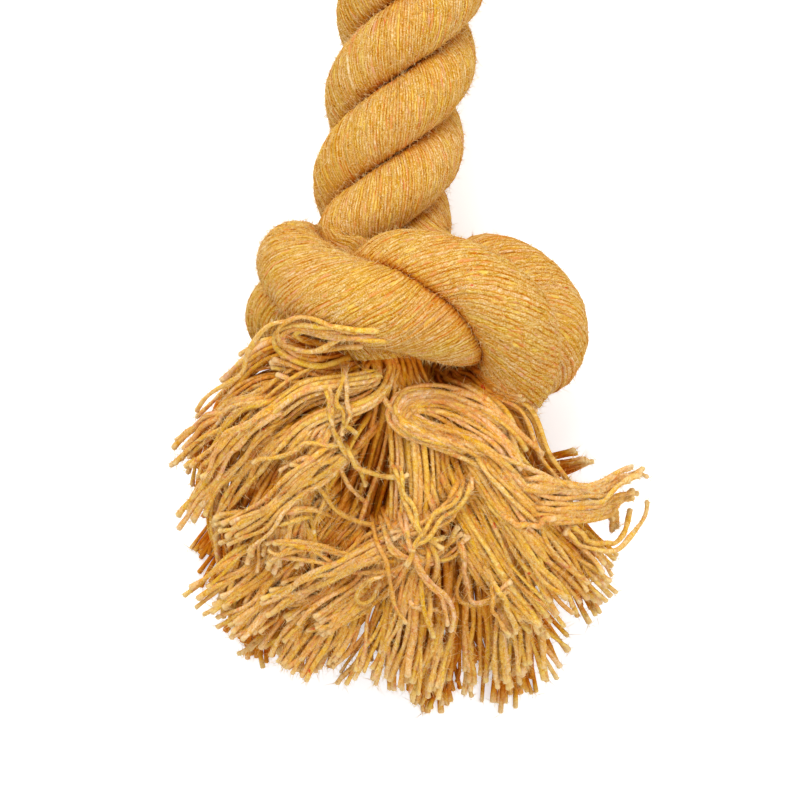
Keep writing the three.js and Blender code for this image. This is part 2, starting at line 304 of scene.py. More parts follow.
class NodePad:
    """Adds linked shader nodes to one material."""

    def __init__(self, material: bpy.types.Material) -> None:
        """Start on a material with no nodes but its output."""
        material.use_nodes = True
        self.tree = material.node_tree
        self.tree.nodes.clear()

    def add(self, kind: str, settings: dict[str, object] | None = None, **inputs: object) -> bpy.types.Node:
        """Add a node.

        Args:
            kind: The node's type.
            settings: Its own settings.
            **inputs: A value or a socket for each named or numbered input, such as i0 or Scale.

        Returns:
            The new node.
        """
        node = self.tree.nodes.new(kind)
        for key, value in (settings or {}).items():
            setattr(node, key, value)
        for key, value in inputs.items():
            numbered = key[0] == "i" and key[1:].isdigit()
            socket = node.inputs[int(key[1:])] if numbered else node.inputs[key.replace("_", " ")]
            if isinstance(value, bpy.types.NodeSocket):
                self.tree.links.new(value, socket)
            else:
                socket.default_value = value
        return node

    def math(self, operation: str, a: object, b: object = 0.0, c: object = 0.0) -> bpy.types.NodeSocket:
        """Return the socket of a sum on one to three numbers."""
        return self.add("ShaderNodeMath", {"operation": operation}, i0=a, i1=b, i2=c).outputs[0]

    def place(self, x: object, y: object, z: object = 0.0) -> bpy.types.NodeSocket:
        """Return the socket of a vector made of three numbers."""
        return self.add("ShaderNodeCombineXYZ", None, i0=x, i1=y, i2=z).outputs[0]

    def noise(self, where: object, scale: float = 1.0, detail: float = 2.0) -> bpy.types.NodeSocket:
        """Return the socket of a noise at a place."""
        return self.add("ShaderNodeTexNoise", None, Vector=where, Scale=scale, Detail=detail).outputs[0]

    def spread(
        self, value: object, low: float, high: float, to_low: float, to_high: float
    ) -> bpy.types.NodeSocket:
        """Return the socket of a number carried from one range to another and kept in it."""
        inputs = {"i0": value, "i1": low, "i2": high, "i3": to_low, "i4": to_high}
        return self.add("ShaderNodeMapRange", {"clamp": True}, **inputs).outputs[0]

    def mix(self, share: object, a: object, b: object, blend: str = "MIX") -> bpy.types.NodeSocket:
        """Return the socket of two colours mixed."""
        node = self.add("ShaderNodeMix", {"data_type": "RGBA", "blend_type": blend})
        for index, value in ((0, share), (6, a), (7, b)):
            if isinstance(value, bpy.types.NodeSocket):
                self.tree.links.new(value, node.inputs[index])
            elif isinstance(value, tuple):
                node.inputs[index].default_value = (*value, 1.0)
            else:
                node.inputs[index].default_value = value
        return node.outputs[2]


@dataclass(frozen=True)
class HeatheredCotton:
    """Mustard cotton of mixed fibres, with coloured flecks and a soft matt surface.

    The tints multiply the middle colour. Warmth is how fast red, green and blue fall off in the painted
    shade.
    """

    name: str = "heathered_cotton"
    spun: Spun = Spun.IN_STRAND
    middle: Colour = srgb(210, 160, 62)
    light: Colour = srgb(249, 226, 168)
    deep: Colour = srgb(180, 115, 4)
    gold: Colour = srgb(220, 168, 50)
    peach_tint: Colour = (1.05, 0.92, 0.98)
    gold_tint: Colour = (1.0, 1.01, 0.38)
    pale_tint: Colour = (1.05, 1.16, 1.85)
    dull_tint: Colour = (0.88, 0.80, 0.62)
    # Painted shade in the small pits between fibres.
    painted_pit_shade: Colour = srgb(128, 76, 16)
    orange: Colour = srgb(226, 138, 76)
    yellow: Colour = srgb(240, 206, 92)
    olive: Colour = srgb(170, 140, 70)
    pink: Colour = srgb(226, 156, 132)
    red: Colour = srgb(216, 70, 42)
    pale: Colour = srgb(246, 228, 190)
    pale_fibre: Colour = srgb(250, 228, 178)
    variety: float = 0.45
    groove_shade: float = 0.52
    deep_shade: float = 0.58
    warmth: Colour = (0.5, 1.75, 4.8)
    yarn_sway: float = 0.30
    seed_step: float = 7.31
    tone_run: float = 0.36
    streaks: float = 2.8
    streak_share: float = 0.62
    streak_tilt: float = 0.9
    fibre_run: float = 1.6
    grain_scale: float = 4200.0
    blotch_scale: float = 60.0
    fleck_width: float = 1.1
    fleck_run: float = 0.48
    felt_run: float = 0.45
    twist_run: float = 0.42
    roughness: float = 0.95
    sheen: float = 0.02
    sheen_roughness: float = 0.55
    sheen_tint: Colour = (1.0, 0.72, 0.36)
    bump: float = 0.45
    bump_depth: float = 0.12 * MM

    def material(self) -> bpy.types.Material:
        """Build the finish and return its material."""
        material = bpy.data.materials.new(self.name)
        pad = NodePad(material)
        yarn_map = pad.add("ShaderNodeUVMap", {"uv_map": "yarn"}).outputs[0]
        split = pad.add("ShaderNodeSeparateXYZ", None, Vector=yarn_map)
        across, along = split.outputs[0], split.outputs[1]
        if self.spun is Spun.IN_STRAND:
            sway = pad.noise(pad.place(pad.math("MULTIPLY", across, 0.7), pad.math("MULTIPLY", along, 0.35)))
            across = pad.math("ADD", across, pad.spread(sway, 0.2, 0.8, -self.yarn_sway, self.yarn_sway))
        number = pad.math("FLOOR", across)
        seed = pad.math("MULTIPLY", number, self.seed_step)
        tone = pad.noise(pad.place(seed, pad.math("MULTIPLY", along, self.tone_run)), 1.0, 1.0)
        tilt = pad.math("MULTIPLY_ADD", along, self.streak_tilt, pad.math("MULTIPLY", across, self.streaks))
        run = pad.math("MULTIPLY_ADD", across, -0.3, pad.math("MULTIPLY", along, self.fibre_run))
        streak = pad.noise(pad.place(tilt, run, seed), 1.0, 4.0)
        object_place = pad.add("ShaderNodeTexCoord").outputs["Object"]
        grain = pad.noise(object_place, self.grain_scale, 3.0)
        colour = self.streaked(pad, self.yarn_colour(pad, tone), streak, grain)
        colour = self.with_flecks(pad, self.tinted(pad, colour, number), across, along, seed)
        blotch = pad.noise(object_place, self.blotch_scale, 2.0)
        colour = pad.mix(pad.spread(blotch, 0.52, 0.70, 0.0, 0.16), colour, self.orange)
        colour = pad.mix(pad.spread(blotch, 0.30, 0.46, 0.20, 0.0), colour, self.gold)
        ridge = self.ridge(pad, pad.math("FRACT", across), along)
        felted = pad.noise(pad.place(seed, pad.math("MULTIPLY", along, self.felt_run), 3.7), 1.0, 2.0)
        # Painted shade: the colour darkens in the grooves between the yarns of a strand and in the twist of a
        # loose yarn, less where the felted noise fills them.
        painted_groove_shade = pad.spread(ridge, 0.0, 0.75, 1.0 - self.groove_shade, 0.0)
        felted_groove_shade = pad.math("MULTIPLY", painted_groove_shade, pad.spread(felted, 0.36, 0.62, 0.15, 1.0))
        shade = pad.math("SUBTRACT", 1.0, felted_groove_shade)
        # Painted shade: dark specks in the pits between fibres, more of them in the grooves.
        between = pad.math("ADD", streak, pad.math("MULTIPLY", painted_groove_shade, -0.25))
        pit_shade_mask = pad.spread(between, 0.22, 0.34, 0.55, 0.0)
        colour = self.with_painted_shade(pad, pad.mix(pit_shade_mask, self.shaded(pad, colour, shade), self.painted_pit_shade))
        height = pad.math("MULTIPLY_ADD", grain, 1.0, pad.math("MULTIPLY_ADD", streak, 0.9, shade))
        bump = pad.add("ShaderNodeBump", None, Strength=self.bump, Distance=self.bump_depth, Height=height)
        shader = pad.add(
            "ShaderNodeBsdfPrincipled",
            None,
            Base_Color=colour,
            Roughness=self.roughness,
            Sheen_Weight=self.sheen,
            Sheen_Roughness=self.sheen_roughness,
            Sheen_Tint=(*self.sheen_tint, 1.0),
            Specular_IOR_Level=0.0,
            Normal=bump.outputs[0],
        )
        pad.add("ShaderNodeOutputMaterial", None, Surface=shader.outputs[0])
        return material

    def streaked(self, pad: NodePad, colour: object, streak: object, grain: object) -> bpy.types.NodeSocket:
        """Return a colour with the fibres' light and dark streaks along a yarn and their fine grain."""
        share = self.streak_share
        colour = pad.mix(pad.spread(streak, 0.50, 0.68, 0.0, share), colour, self.light)
        colour = pad.mix(pad.spread(streak, 0.32, 0.49, share, 0.0), colour, self.deep)
        colour = pad.mix(pad.spread(grain, 0.52, 0.66, 0.0, share), colour, self.pale_fibre)
        return pad.mix(pad.spread(grain, 0.32, 0.47, share, 0.0), colour, self.deep)

    def yarn_colour(self, pad: NodePad, tone: object) -> bpy.types.NodeSocket:
        """Return the yarn's colour, which changes along its length."""
        colour = pad.mix(pad.spread(tone, 0.50, 0.62, 0.0, 0.70), self.middle, self.pale_tint, "MULTIPLY")
        return pad.mix(pad.spread(tone, 0.38, 0.50, 0.85, 0.0), colour, self.gold_tint, "MULTIPLY")

    def tinted(self, pad: NodePad, colour: object, number: object) -> bpy.types.NodeSocket:
        """Return a colour that differs from yarn to yarn."""
        one_way = {"noise_dimensions": "1D"}
        hue = pad.add("ShaderNodeTexWhiteNoise", one_way, W=number).outputs[0]
        value = pad.add("ShaderNodeTexWhiteNoise", one_way, W=pad.math("ADD", number, 0.5)).outputs[0]
        colour = pad.mix(pad.spread(hue, 0.0, 0.40, self.variety, 0.0), colour, self.peach_tint, "MULTIPLY")
        colour = pad.mix(pad.spread(hue, 0.60, 1.0, 0.0, self.variety), colour, self.gold_tint, "MULTIPLY")
        colour = pad.mix(pad.spread(value, 0.50, 0.95, 0.0, self.variety), colour, self.pale_tint, "MULTIPLY")
        return pad.mix(pad.spread(value, 0.0, 0.30, self.variety, 0.0), colour, self.dull_tint, "MULTIPLY")

    def with_flecks(
        self, pad: NodePad, colour: object, across: object, along: object, seed: object
    ) -> bpy.types.NodeSocket:
        """Return a colour with the short coloured fibres that are spun in."""
        flecks = (
            (self.orange, 0.62, 0.69, 0.70, 3.1),
            (self.yellow, 0.62, 0.69, 0.70, 17.7),
            (self.olive, 0.66, 0.72, 0.45, 31.9),
            (self.pink, 0.65, 0.71, 0.60, 47.3),
            (self.pale, 0.70, 0.75, 0.75, 61.1),
            (self.red, 0.755, 0.775, 0.90, 83.9),
        )
        for fleck, start, full, most, shift in flecks:
            place = pad.math("MULTIPLY_ADD", across, self.fleck_width, shift)
            where = pad.place(place, pad.math("MULTIPLY", along, self.fleck_run), seed)
            colour = pad.mix(pad.spread(pad.noise(where, 1.0, 1.5), start, full, 0.0, most), colour, fleck)
        return colour

    def shaded(self, pad: NodePad, colour: object, shade: object) -> bpy.types.NodeSocket:
        """Return a colour darkened by painted shade, warmer as it darkens, as light that has passed through
        cotton is.
        """
        warm = pad.place(*(pad.math("POWER", shade, power) for power in self.warmth))
        return pad.mix(1.0, colour, warm, "MULTIPLY")

    def with_painted_shade(self, pad: NodePad, colour: object) -> bpy.types.NodeSocket:
        """Return a colour with painted shade, warmer and darker deep inside, and paler at a cut end."""
        painted_shade_and_fray = pad.add("ShaderNodeAttribute", {"attribute_name": "painted_shade_and_fray"}).outputs["Fac"]
        colour = self.shaded(pad, colour, pad.spread(painted_shade_and_fray, 0.0, 1.0, 1.0, self.deep_shade))
        return pad.mix(pad.spread(painted_shade_and_fray, -1.0, 0.0, 0.60, 0.0), colour, self.pale_fibre)

    def ridge(self, pad: NodePad, share: object, along: object) -> bpy.types.NodeSocket:
        """Return the height across a yarn: a rounded top in a strand, a soft twist on a loose yarn."""
        if self.spun is Spun.IN_STRAND:
            return pad.math("SINE", pad.math("MULTIPLY", share, math.pi))
        turns = pad.math("MULTIPLY_ADD", along, self.twist_run, pad.math("MULTIPLY", share, 2.0))
        return pad.math("ABSOLUTE", pad.math("SINE", pad.math("MULTIPLY", turns, math.pi)))


IN_STRANDS = HeatheredCotton(name="cotton_in_strand")
IN_YARNS = HeatheredCotton(
    name="cotton_in_yarns",
    spun=Spun.LOOSE,
    middle=srgb(238, 186, 88),
    light=srgb(252, 234, 190),
    deep=srgb(208, 130, 12),
    variety=0.90,
    streak_share=0.45,
    groove_shade=0.88,
    deep_shade=0.61,
)


@dataclass(frozen=True)
class LooseFibre:
    """Single cotton fibres, paler than the yarn that they stand off."""

    name: str = "cotton_fibres"
    colour: Colour = srgb(252, 226, 168)
    dull: Colour = srgb(242, 192, 104)
    tone_scale: float = 400.0

    def material(self) -> bpy.types.Material:
        """Build the finish and return its material."""
        material = bpy.data.materials.new(self.name)
        pad = NodePad(material)
        tone = pad.noise(pad.add("ShaderNodeTexCoord").outputs["Object"], self.tone_scale, 1.0)
        colour = pad.mix(pad.spread(tone, 0.35, 0.65, 0.0, 1.0), self.colour, self.dull)
        shader = pad.add(
            "ShaderNodeBsdfPrincipled", None, Base_Color=colour, Roughness=1.0, Specular_IOR_Level=0.0
        )
        pad.add("ShaderNodeOutputMaterial", None, Surface=shader.outputs[0])
        return material


@dataclass(frozen=True)
class StudioFloor:
    """Plain pale floor that meets a white background."""

    name: str = "pale_floor"
    colour: Colour = (0.86, 0.86, 0.86)
    glow: float = 0.50

    def material(self) -> bpy.types.Material:
        """Build the finish and return its material."""
        material = bpy.data.materials.new(self.name)
        pad = NodePad(material)
        seen = pad.add("ShaderNodeLightPath").outputs["Is Camera Ray"]
        matt = pad.add("ShaderNodeBsdfDiffuse", None, Color=(*self.colour, 1.0))
        glow = pad.add("ShaderNodeEmission", None, Strength=pad.math("MULTIPLY", seen, self.glow))
        both = pad.add("ShaderNodeAddShader", None, i0=matt.outputs[0], i1=glow.outputs[0])
        pad.add("ShaderNodeOutputMaterial", None, Surface=both.outputs[0])
        return material


# The three strands.


@dataclass
class RopeLay:
    """The rope's sizes and the centre lines of its three strands.

    They are those of the frame's solids, but for the outer turn of the knot and the turn next to it,
    which lie up to 3.5 mm from their solids, where the photograph shows them.

    The routes run from the rope to the cut end, in strand diameters from the knot's middle.
    """

    strand: float = 11.0
    lay_radius: float = 7.3
    pitch_wanted: float = 46.0
    between_knots: float = 195.0
    knot_entry: float = 12.6
    entry_angle: float = math.radians(44.0)
    lay_step: float = 5.0
    rest_flat: float = 0.1
    knot_swell: float = 1.28
    swell_length: float = 1.2
    checked_points: int = 280
    routes: tuple[tuple[Place, ...], ...] = (
        (
            (-0.32, 0.84, 0.48), (-0.4, 0.5, 0.36), (-0.46, 0.22, 0.28), (-0.62, 0.02, 0.24),
            (-0.92, -0.12, 0.12), (-1.18, -0.2, -0.12), (-1.31, -0.3, -0.5), (-1.32, -0.42, -0.94),
            (-1.18, -0.53, -1.3), (-0.86, -0.6, -1.6), (-0.32, -0.6, -1.82), (0.32, -0.56, -1.94),
            (0.98, -0.52, -1.94), (1.58, -0.5, -1.74), (2.1, -0.54, -1.44), (2.58, -0.56, -1.18),
            (2.92, -0.42, -0.88), (3.0, -0.06, -0.62), (2.86, 0.34, -0.42), (2.5, 0.7, -0.22),
            (2.1, 0.88, -0.1), (1.74, 0.84, -0.14), (1.56, 0.46, -0.2), (1.48, 0.06, -0.24),
            (1.38, -0.38, -0.16), (1.3, -0.78, -0.06),
        ),
        (
            (0.86, 0.88, 0.16), (0.96, 0.6, 0.26), (1.06, 0.32, 0.38), (1.28, 0.1, 0.5),
            (1.5, -0.02, 0.7), (1.6, -0.1, 0.98), (1.46, -0.14, 1.3), (1.1, -0.12, 1.6),
            (0.6, -0.07, 1.84), (0.12, -0.04, 1.98), (-0.4, 0.02, 1.9), (-0.84, 0.14, 1.58),
            (-1.11, 0.3, 1.14), (-1.26, 0.45, 0.64), (-1.3, 0.58, 0.14), (-1.18, 0.62, -0.34),
            (-0.92, 0.44, -0.66), (-0.66, 0.04, -0.8), (-0.46, -0.45, -0.76), (-0.36, -0.88, -0.66),
        ),
        (
            (-0.06, 0.86, -0.72), (0.14, 0.54, -0.84), (0.32, 0.18, -0.92), (0.52, -0.22, -0.98),
            (0.74, -0.6, -1.02), (1.04, -0.88, -1.02), (1.46, -1.06, -0.92), (1.9, -1.14, -0.66),
            (2.28, -1.08, -0.24), (2.46, -0.88, 0.26), (2.54, -0.56, 0.78), (2.46, -0.22, 1.28),
            (2.26, 0.09, 1.64), (1.93, 0.36, 1.84), (1.5, 0.58, 1.88), (1.0, 0.67, 1.82),
            (0.56, 0.68, 1.62), (0.27, 0.52, 1.36), (0.16, 0.14, 1.14), (0.2, -0.32, 1.04),
            (0.3, -0.78, 0.96),
        ),
    )
    axis_height: float = field(init=False)
    lines: list[Array] = field(init=False)

    def __post_init__(self) -> None:
        """Work out the strands' centre lines and how high the rope's axis lies."""
        third = TURN / 3
        self.half_rope = self.between_knots / 2
        self.thirds = round((TURN * self.half_rope / self.pitch_wanted - self.entry_angle) / third)
        self.half_angle = self.entry_angle + self.thirds * third
        raw = [self.control_points(k) for k in range(3)]
        lowest = min(float(smooth_curve(points, self.checked_points)[:, 2].min()) for points in raw)
        self.axis_height = self.strand / 2 * self.knot_swell - self.strand * self.rest_flat - lowest
        self.lines = [points + [0.0, 0.0, self.axis_height] for points in raw]

    def end_point(self, shares: Place, end: End) -> Array:
        """Return a point of a knot or tassel, given in strand diameters from the knot's middle."""
        point = np.array(shares) * self.strand
        point[1] -= self.half_rope + self.knot_entry
        return point * [end.value, end.value, 1.0]

    def route_number(self, strand: int, end: End) -> int:
        """Return which of the knot's three routes a strand takes at an end."""
        return int(end.value * strand - self.thirds) % 3

    def control_points(self, strand: int) -> Array:
        """Return one strand's points, from its near cut end to its far one."""
        near = [self.end_point(p, End.NEAR) for p in self.routes[self.route_number(strand, End.NEAR)]]
        far = [self.end_point(p, End.FAR) for p in self.routes[self.route_number(strand, End.FAR)]]
        steps = round(self.between_knots / self.lay_step)
        along = np.linspace(-self.half_rope, self.half_rope, steps + 1)
        angle = strand * TURN / 3 + self.half_angle * along / self.half_rope
        lay = np.stack([self.lay_radius * np.sin(angle), along, self.lay_radius * np.cos(angle)], axis=1)
        return np.vstack([near[::-1], lay, far])

    def radius_at(self, points: Array) -> Array:
        """Return the strand's radius at points, larger where the lay no longer holds it."""
        past = np.clip((np.abs(points[..., 1]) - self.half_rope) / (self.strand * self.swell_length), 0, 1)
        return self.strand / 2 * (1 + eased(past) * (self.knot_swell - 1))


@dataclass
class LaidStrands:
    """The three strands, with the yarns of their surface as real ridges."""

    lay: RopeLay
    yarns_round: int = 42
    points_a_yarn: int = 4
    rings: int = 584
    measured_points: int = 500
    sample_step: float = 1.1
    gap: float = -0.14
    fullness: float = 1.045
    rounding: float = 0.85
    self_reach: float = 1.7
    neighbour_reach: float = 2.0
    contact_reach: float = 4.0
    least_reach: float = 0.4
    # How far from another strand the painted shade reaches, and how fast it falls off.
    shaded_reach: float = 2.4
    shade_fall: float = 1.5
    free_share: float = 0.93
    ridge_height: float = 0.10
    ridge_middle: float = 0.75
    proud_height: float = 0.08
    proud_run: float = 7.0
    rope_twist: float = -0.29
    knot_twist: Place = (-0.14, -0.20, -0.105)
    twist_start: float = 6.0
    twist_change: float = 14.0
    numbers_apart: float = 40.0
    cord_step: int = 4
    seed: int = 11
    pieces: list[bpy.types.Object] = field(default_factory=list)
    surfaces: list[Array] = field(default_factory=list)
    free: list[Array] = field(default_factory=list)
    centres: list[Array] = field(default_factory=list)

    def twist_rate(self, strand: int, centre: Array) -> Array:
        """Return how fast the yarns turn round the strand, in radians a millimetre."""
        past = np.abs(centre[:, 1]) - self.lay.half_rope + self.twist_start
        past = np.clip(past / self.twist_change, 0, 1)
        near = self.knot_twist[self.lay.route_number(strand, End.NEAR)]
        far = self.knot_twist[self.lay.route_number(strand, End.FAR)]
        knot = np.where(centre[:, 1] < 0, near, far)
        return self.rope_twist * (1 - past) + knot * past

    def pressed(self, centre: Array, spokes: Array, radius: float, points: Array, sizes: Array) -> Array:
        """Return how far spokes from a centre may reach before they meet the neighbours.

        Args:
            centre: The ring's centre.
            spokes: Directions from it, one a row.
            radius: The strand's radius there.
            points: Middles of the neighbours.
            sizes: Their radii.

        Returns:
            The reach along each spoke.
        """
        toward = points - centre
        distance = np.linalg.norm(toward, axis=1)
        near = distance < radius + sizes + self.contact_reach
        toward, distance, sizes = toward[near], distance[near], sizes[near]
        if not len(toward):
            return np.full(len(spokes), radius)
        facing = spokes @ toward.T
        plane = (distance**2 + radius**2 - sizes**2) / 2 / distance - self.gap / 2
        reach = np.where(facing > 1e-6, plane * distance / np.maximum(facing, 1e-6), 1e3).min(axis=1)
        full = np.full(len(spokes), radius * self.fullness)
        return np.maximum(soft_least(full, reach, self.rounding), self.least_reach)

    def build(self) -> None:
        """Make the three strands."""
        fine = []
        for points in self.lay.lines:
            length = path_travel(smooth_curve(points, self.measured_points))[-1]
            fine.append(smooth_curve(points, int(length / self.sample_step)))
        rng = np.random.default_rng(self.seed)
        for strand, points in enumerate(self.lay.lines):
            centre = smooth_curve(points, self.rings)
            travel = path_travel(centre)
            radius = self.lay.radius_at(centre)
            spokes = self.spokes(strand, centre, travel)
            own_travel = path_travel(fine[strand])
            others = np.vstack([line for k, line in enumerate(fine) if k != strand])
            reach = np.empty(spokes.shape[:2])
            painted_shade_and_fray = np.empty(spokes.shape[:2])
            for i in range(self.rings):
                folded = np.abs(own_travel - travel[i]) > self.self_reach * self.lay.strand
                near = np.vstack([others, fine[strand][folded]])
                apart = np.linalg.norm(near - centre[i], axis=1)
                near = near[apart < self.neighbour_reach * self.lay.strand]
                sizes = self.lay.radius_at(near)
                reach[i] = self.pressed(centre[i], spokes[i], radius[i], near, sizes)
                # Painted shade: surface points close to another strand get darker, as shade falls between
                # strands.
                skin = centre[i] + spokes[i] * reach[i][:, None]
                apart = (np.linalg.norm(skin[:, None] - near, axis=2) - sizes).min(axis=1, initial=FAR_OFF)
                painted_shade_and_fray[i] = np.clip(1 - apart / self.shaded_reach, 0, 1) ** self.shade_fall
            free = reach > radius[:, None] * self.free_share
            reach += self.ridges(rng, travel)
            surface = centre[:, None] + spokes * reach[..., None]
            surface[..., 2] = np.maximum(surface[..., 2], 0.0)
            name = f"laid_strand_{strand + 1}"
            numbers = np.array([strand * self.numbers_apart])
            piece = rolled_tubes(name, surface[None], travel[None], numbers, self.yarns_round, painted_shade_and_fray[None])
            self.pieces.append(piece)
            self.surfaces.append(surface)
            self.free.append(free)
            self.centres.append(centre)
            LOG.info("%s: %d rings, %.0f mm long", name, self.rings, travel[-1])

    def spokes(self, strand: int, centre: Array, travel: Array) -> Array:
        """Return the directions from a strand's middle to its yarns, shaped (rings, sides, 3)."""
        _, across, beside = (directions[0] for directions in path_frames(centre[None]))
        turn = np.concatenate([[0.0], np.cumsum(self.twist_rate(strand, centre)[1:] * np.diff(travel))])
        sides = self.yarns_round * self.points_a_yarn
        angle = (TURN * np.arange(sides) / sides + turn[:, None])[..., None]
        return np.cos(angle) * across[:, None] + np.sin(angle) * beside[:, None]

    def ridges(self, rng: np.random.Generator, travel: Array) -> Array:
        """Return the relief of the surface yarns, shaped (rings, sides)."""
        share = np.arange(self.points_a_yarn) / self.points_a_yarn
        profile = np.sqrt(1 - (2 * share - 1) ** 2) - self.ridge_middle
        relief = np.tile(profile * self.ridge_height, (self.rings, self.yarns_round))
        proud = wander(rng, self.yarns_round, self.rings, int(travel[-1] / self.proud_run))[..., 0].T
        return relief + self.proud_height * np.repeat(proud, self.points_a_yarn, axis=1)

    def dress(self) -> None:
        finish = IN_STRANDS.material()
        for strand, piece in enumerate(self.pieces):
            piece.data.materials.append(finish)
            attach(piece, "root")
            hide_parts(f"strand_{strand + 1}")


# The fuzz.


@dataclass
class Fuzz:
    """Loose fibres that stand off the cotton, as short thin hairs. Lengths are in millimetres."""

    count: int = 36000
    radius: float = 0.048
    shortest: float = 0.45
    longest: float = 1.9
    crowding: float = 2.8
    stand: float = 0.80
    rise: tuple[float, float] = (0.15, 1.6)
    bend: float = 0.35
    rooting: float = 0.05
    scatter: float = 0.3
    upward: float = 0.9
    splay: float = 0.8
    weld: float = 0.0005
    end_fibres: int = 8
    end_stand: float = 0.30
    end_spread: tuple[float, float] = (0.2, 0.95)
    end_rooting: float = 0.5
    end_splay: float = 0.25
    seed: int = 77

    def __post_init__(self) -> None:
        """Start the chance that the fibres lie by."""
        self.rng = np.random.default_rng(self.seed)

    def hairs(self, roots: Array, outward: Array, side: Array, stand: float) -> Array:
        """Return the paths of fibres that start at roots.

        Args:
            roots: Where the fibres leave the cotton, one a row.
            outward: The direction away from the cotton at each.
            side: The direction along which each fibre lies.
            stand: How steeply the fibres rise.

        Returns:
            The paths, shaped (fibres, 2, 3).
        """
        rng = self.rng
        each = (len(roots), 1)
        side = square_to(side, outward)
        reach = self.shortest + (self.longest - self.shortest) * rng.uniform(0, 1, each) ** self.crowding
        rise = outward * reach * stand * rng.uniform(*self.rise, each)
        turn = np.cross(outward, side) * reach * rng.normal(scale=self.bend, size=each)
        return np.stack([roots - outward * self.rooting, roots + side * reach + rise + turn], axis=1)

    def section(self) -> bpy.types.Object:
        """Return the three-sided section of a fibre."""
        outline = bpy.data.curves.new("fibre_section", "CURVE")
        outline.dimensions = "2D"
        ring = outline.splines.new("POLY")
        ring.points.add(2)
        for corner, point in enumerate(ring.points):
            angle = -TURN * corner / 3
            point.co = (self.radius * MM * math.cos(angle), self.radius * MM * math.sin(angle), 0.0, 1.0)
        ring.use_cyclic_u = True
        return add_object("fibre_section", outline)

    def piece(self, name: str, paths: Array, finish: bpy.types.Material, slot: str) -> None:
        """Make fibres into one piece of the toy."""
        paths[..., 2] = np.maximum(paths[..., 2], 2 * self.radius)
        curve = bpy.data.curves.new(name, "CURVE")
        curve.dimensions = "3D"
        section = self.section()
        curve.bevel_mode = "OBJECT"
        curve.bevel_object = section
        curve.use_fill_caps = True
        for path in np.concatenate([paths * MM, np.ones(paths.shape[:2] + (1,))], axis=2):
            fibre = curve.splines.new("POLY")
            fibre.points.add(len(path) - 1)
            fibre.points.foreach_set("co", path.ravel())
            fibre.points.foreach_set("radius", np.linspace(1.0, 0.0, len(path)))
        drawn = add_object(name, curve)
        graph = bpy.context.evaluated_depsgraph_get()
        mesh = bpy.data.meshes.new_from_object(drawn.evaluated_get(graph))
        bpy.data.objects.remove(drawn)
        bpy.data.objects.remove(section)
        bm = bmesh.new()
        bm.from_mesh(mesh)
        bmesh.ops.remove_doubles(bm, verts=bm.verts, dist=self.weld * MM)
        bm.to_mesh(mesh)
        bm.free()
        piece = add_object(name, mesh)
        mesh.materials.clear()
        mesh.materials.append(finish)
        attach(piece, "root")
        LOG.info("%s: %d fibres", name, len(paths))

    def on_strand(self, name: str, strands: LaidStrands, strand: int, finish: bpy.types.Material) -> None:
        """Make the fuzz of one strand, on the part of its surface that is free."""
        rings, sides = np.nonzero(strands.free[strand])
        pick = self.rng.integers(0, len(rings), self.count)
        roots = strands.surfaces[strand][rings[pick], sides[pick]]
        outward = unit(roots - strands.centres[strand][rings[pick]])
        roots = roots + self.rng.normal(scale=self.scatter, size=roots.shape) * (1 - np.abs(outward))
        paths = self.hairs(roots, outward, self.rng.normal(size=roots.shape), self.stand)
        self.piece(name, paths, finish, "cotton_strand")

    def on_yarns(
        self, name: str, paths: Array, in_open: Array, radius: float, finish: bpy.types.Material
    ) -> None:
        """Make the fuzz of loose yarns where they lie open, and the brush of fibres at their cut ends.

        Args:
            name: The piece's name.
            paths: The yarns, shaped (yarns, points, 3).
            in_open: Which of their points lie open.
            radius: The yarns' radius.
            finish: The fibres' finish.
        """
        rng = self.rng
        along = unit(np.gradient(paths, axis=1))
        yarn, ring = np.nonzero(in_open)
        pick = rng.integers(0, len(yarn), self.count)
        yarn, ring = yarn[pick], ring[pick]
        each = (len(yarn), 1)
        own = along[yarn, ring]
        outward = square_to(rng.normal(size=(len(yarn), 3)) + [0.0, 0.0, self.upward], own)
        side = own * rng.choice([-1.0, 1.0], each) + self.splay * rng.normal(size=outward.shape)
        shift = own * rng.uniform(-0.8, 0.8, each)
        body = self.hairs(paths[yarn, ring] + shift + outward * radius * 0.9, outward, side, self.stand)
        tip = np.repeat(np.arange(len(paths)), self.end_fibres)
        own = along[tip, -1]
        spoke = square_to(rng.normal(size=(len(tip), 3)), own)
        spread = rng.uniform(*self.end_spread, (len(tip), 1))
        roots = paths[tip, -1] + spoke * radius * spread - own * self.end_rooting
        ends = self.hairs(roots, spoke, own + self.end_splay * spoke, self.end_stand)
        self.piece(name, np.vstack([body, ends]), finish, "cotton_yarn")


# The tassels.


@dataclass(frozen=True)
class LockForm:
    """A lock of yarns: where it starts in its strand's cut end, its half sizes and its route."""

    name: str
    end: int
    root: tuple[float, float]
    half: tuple[float, float]
    route: tuple[Place, ...]


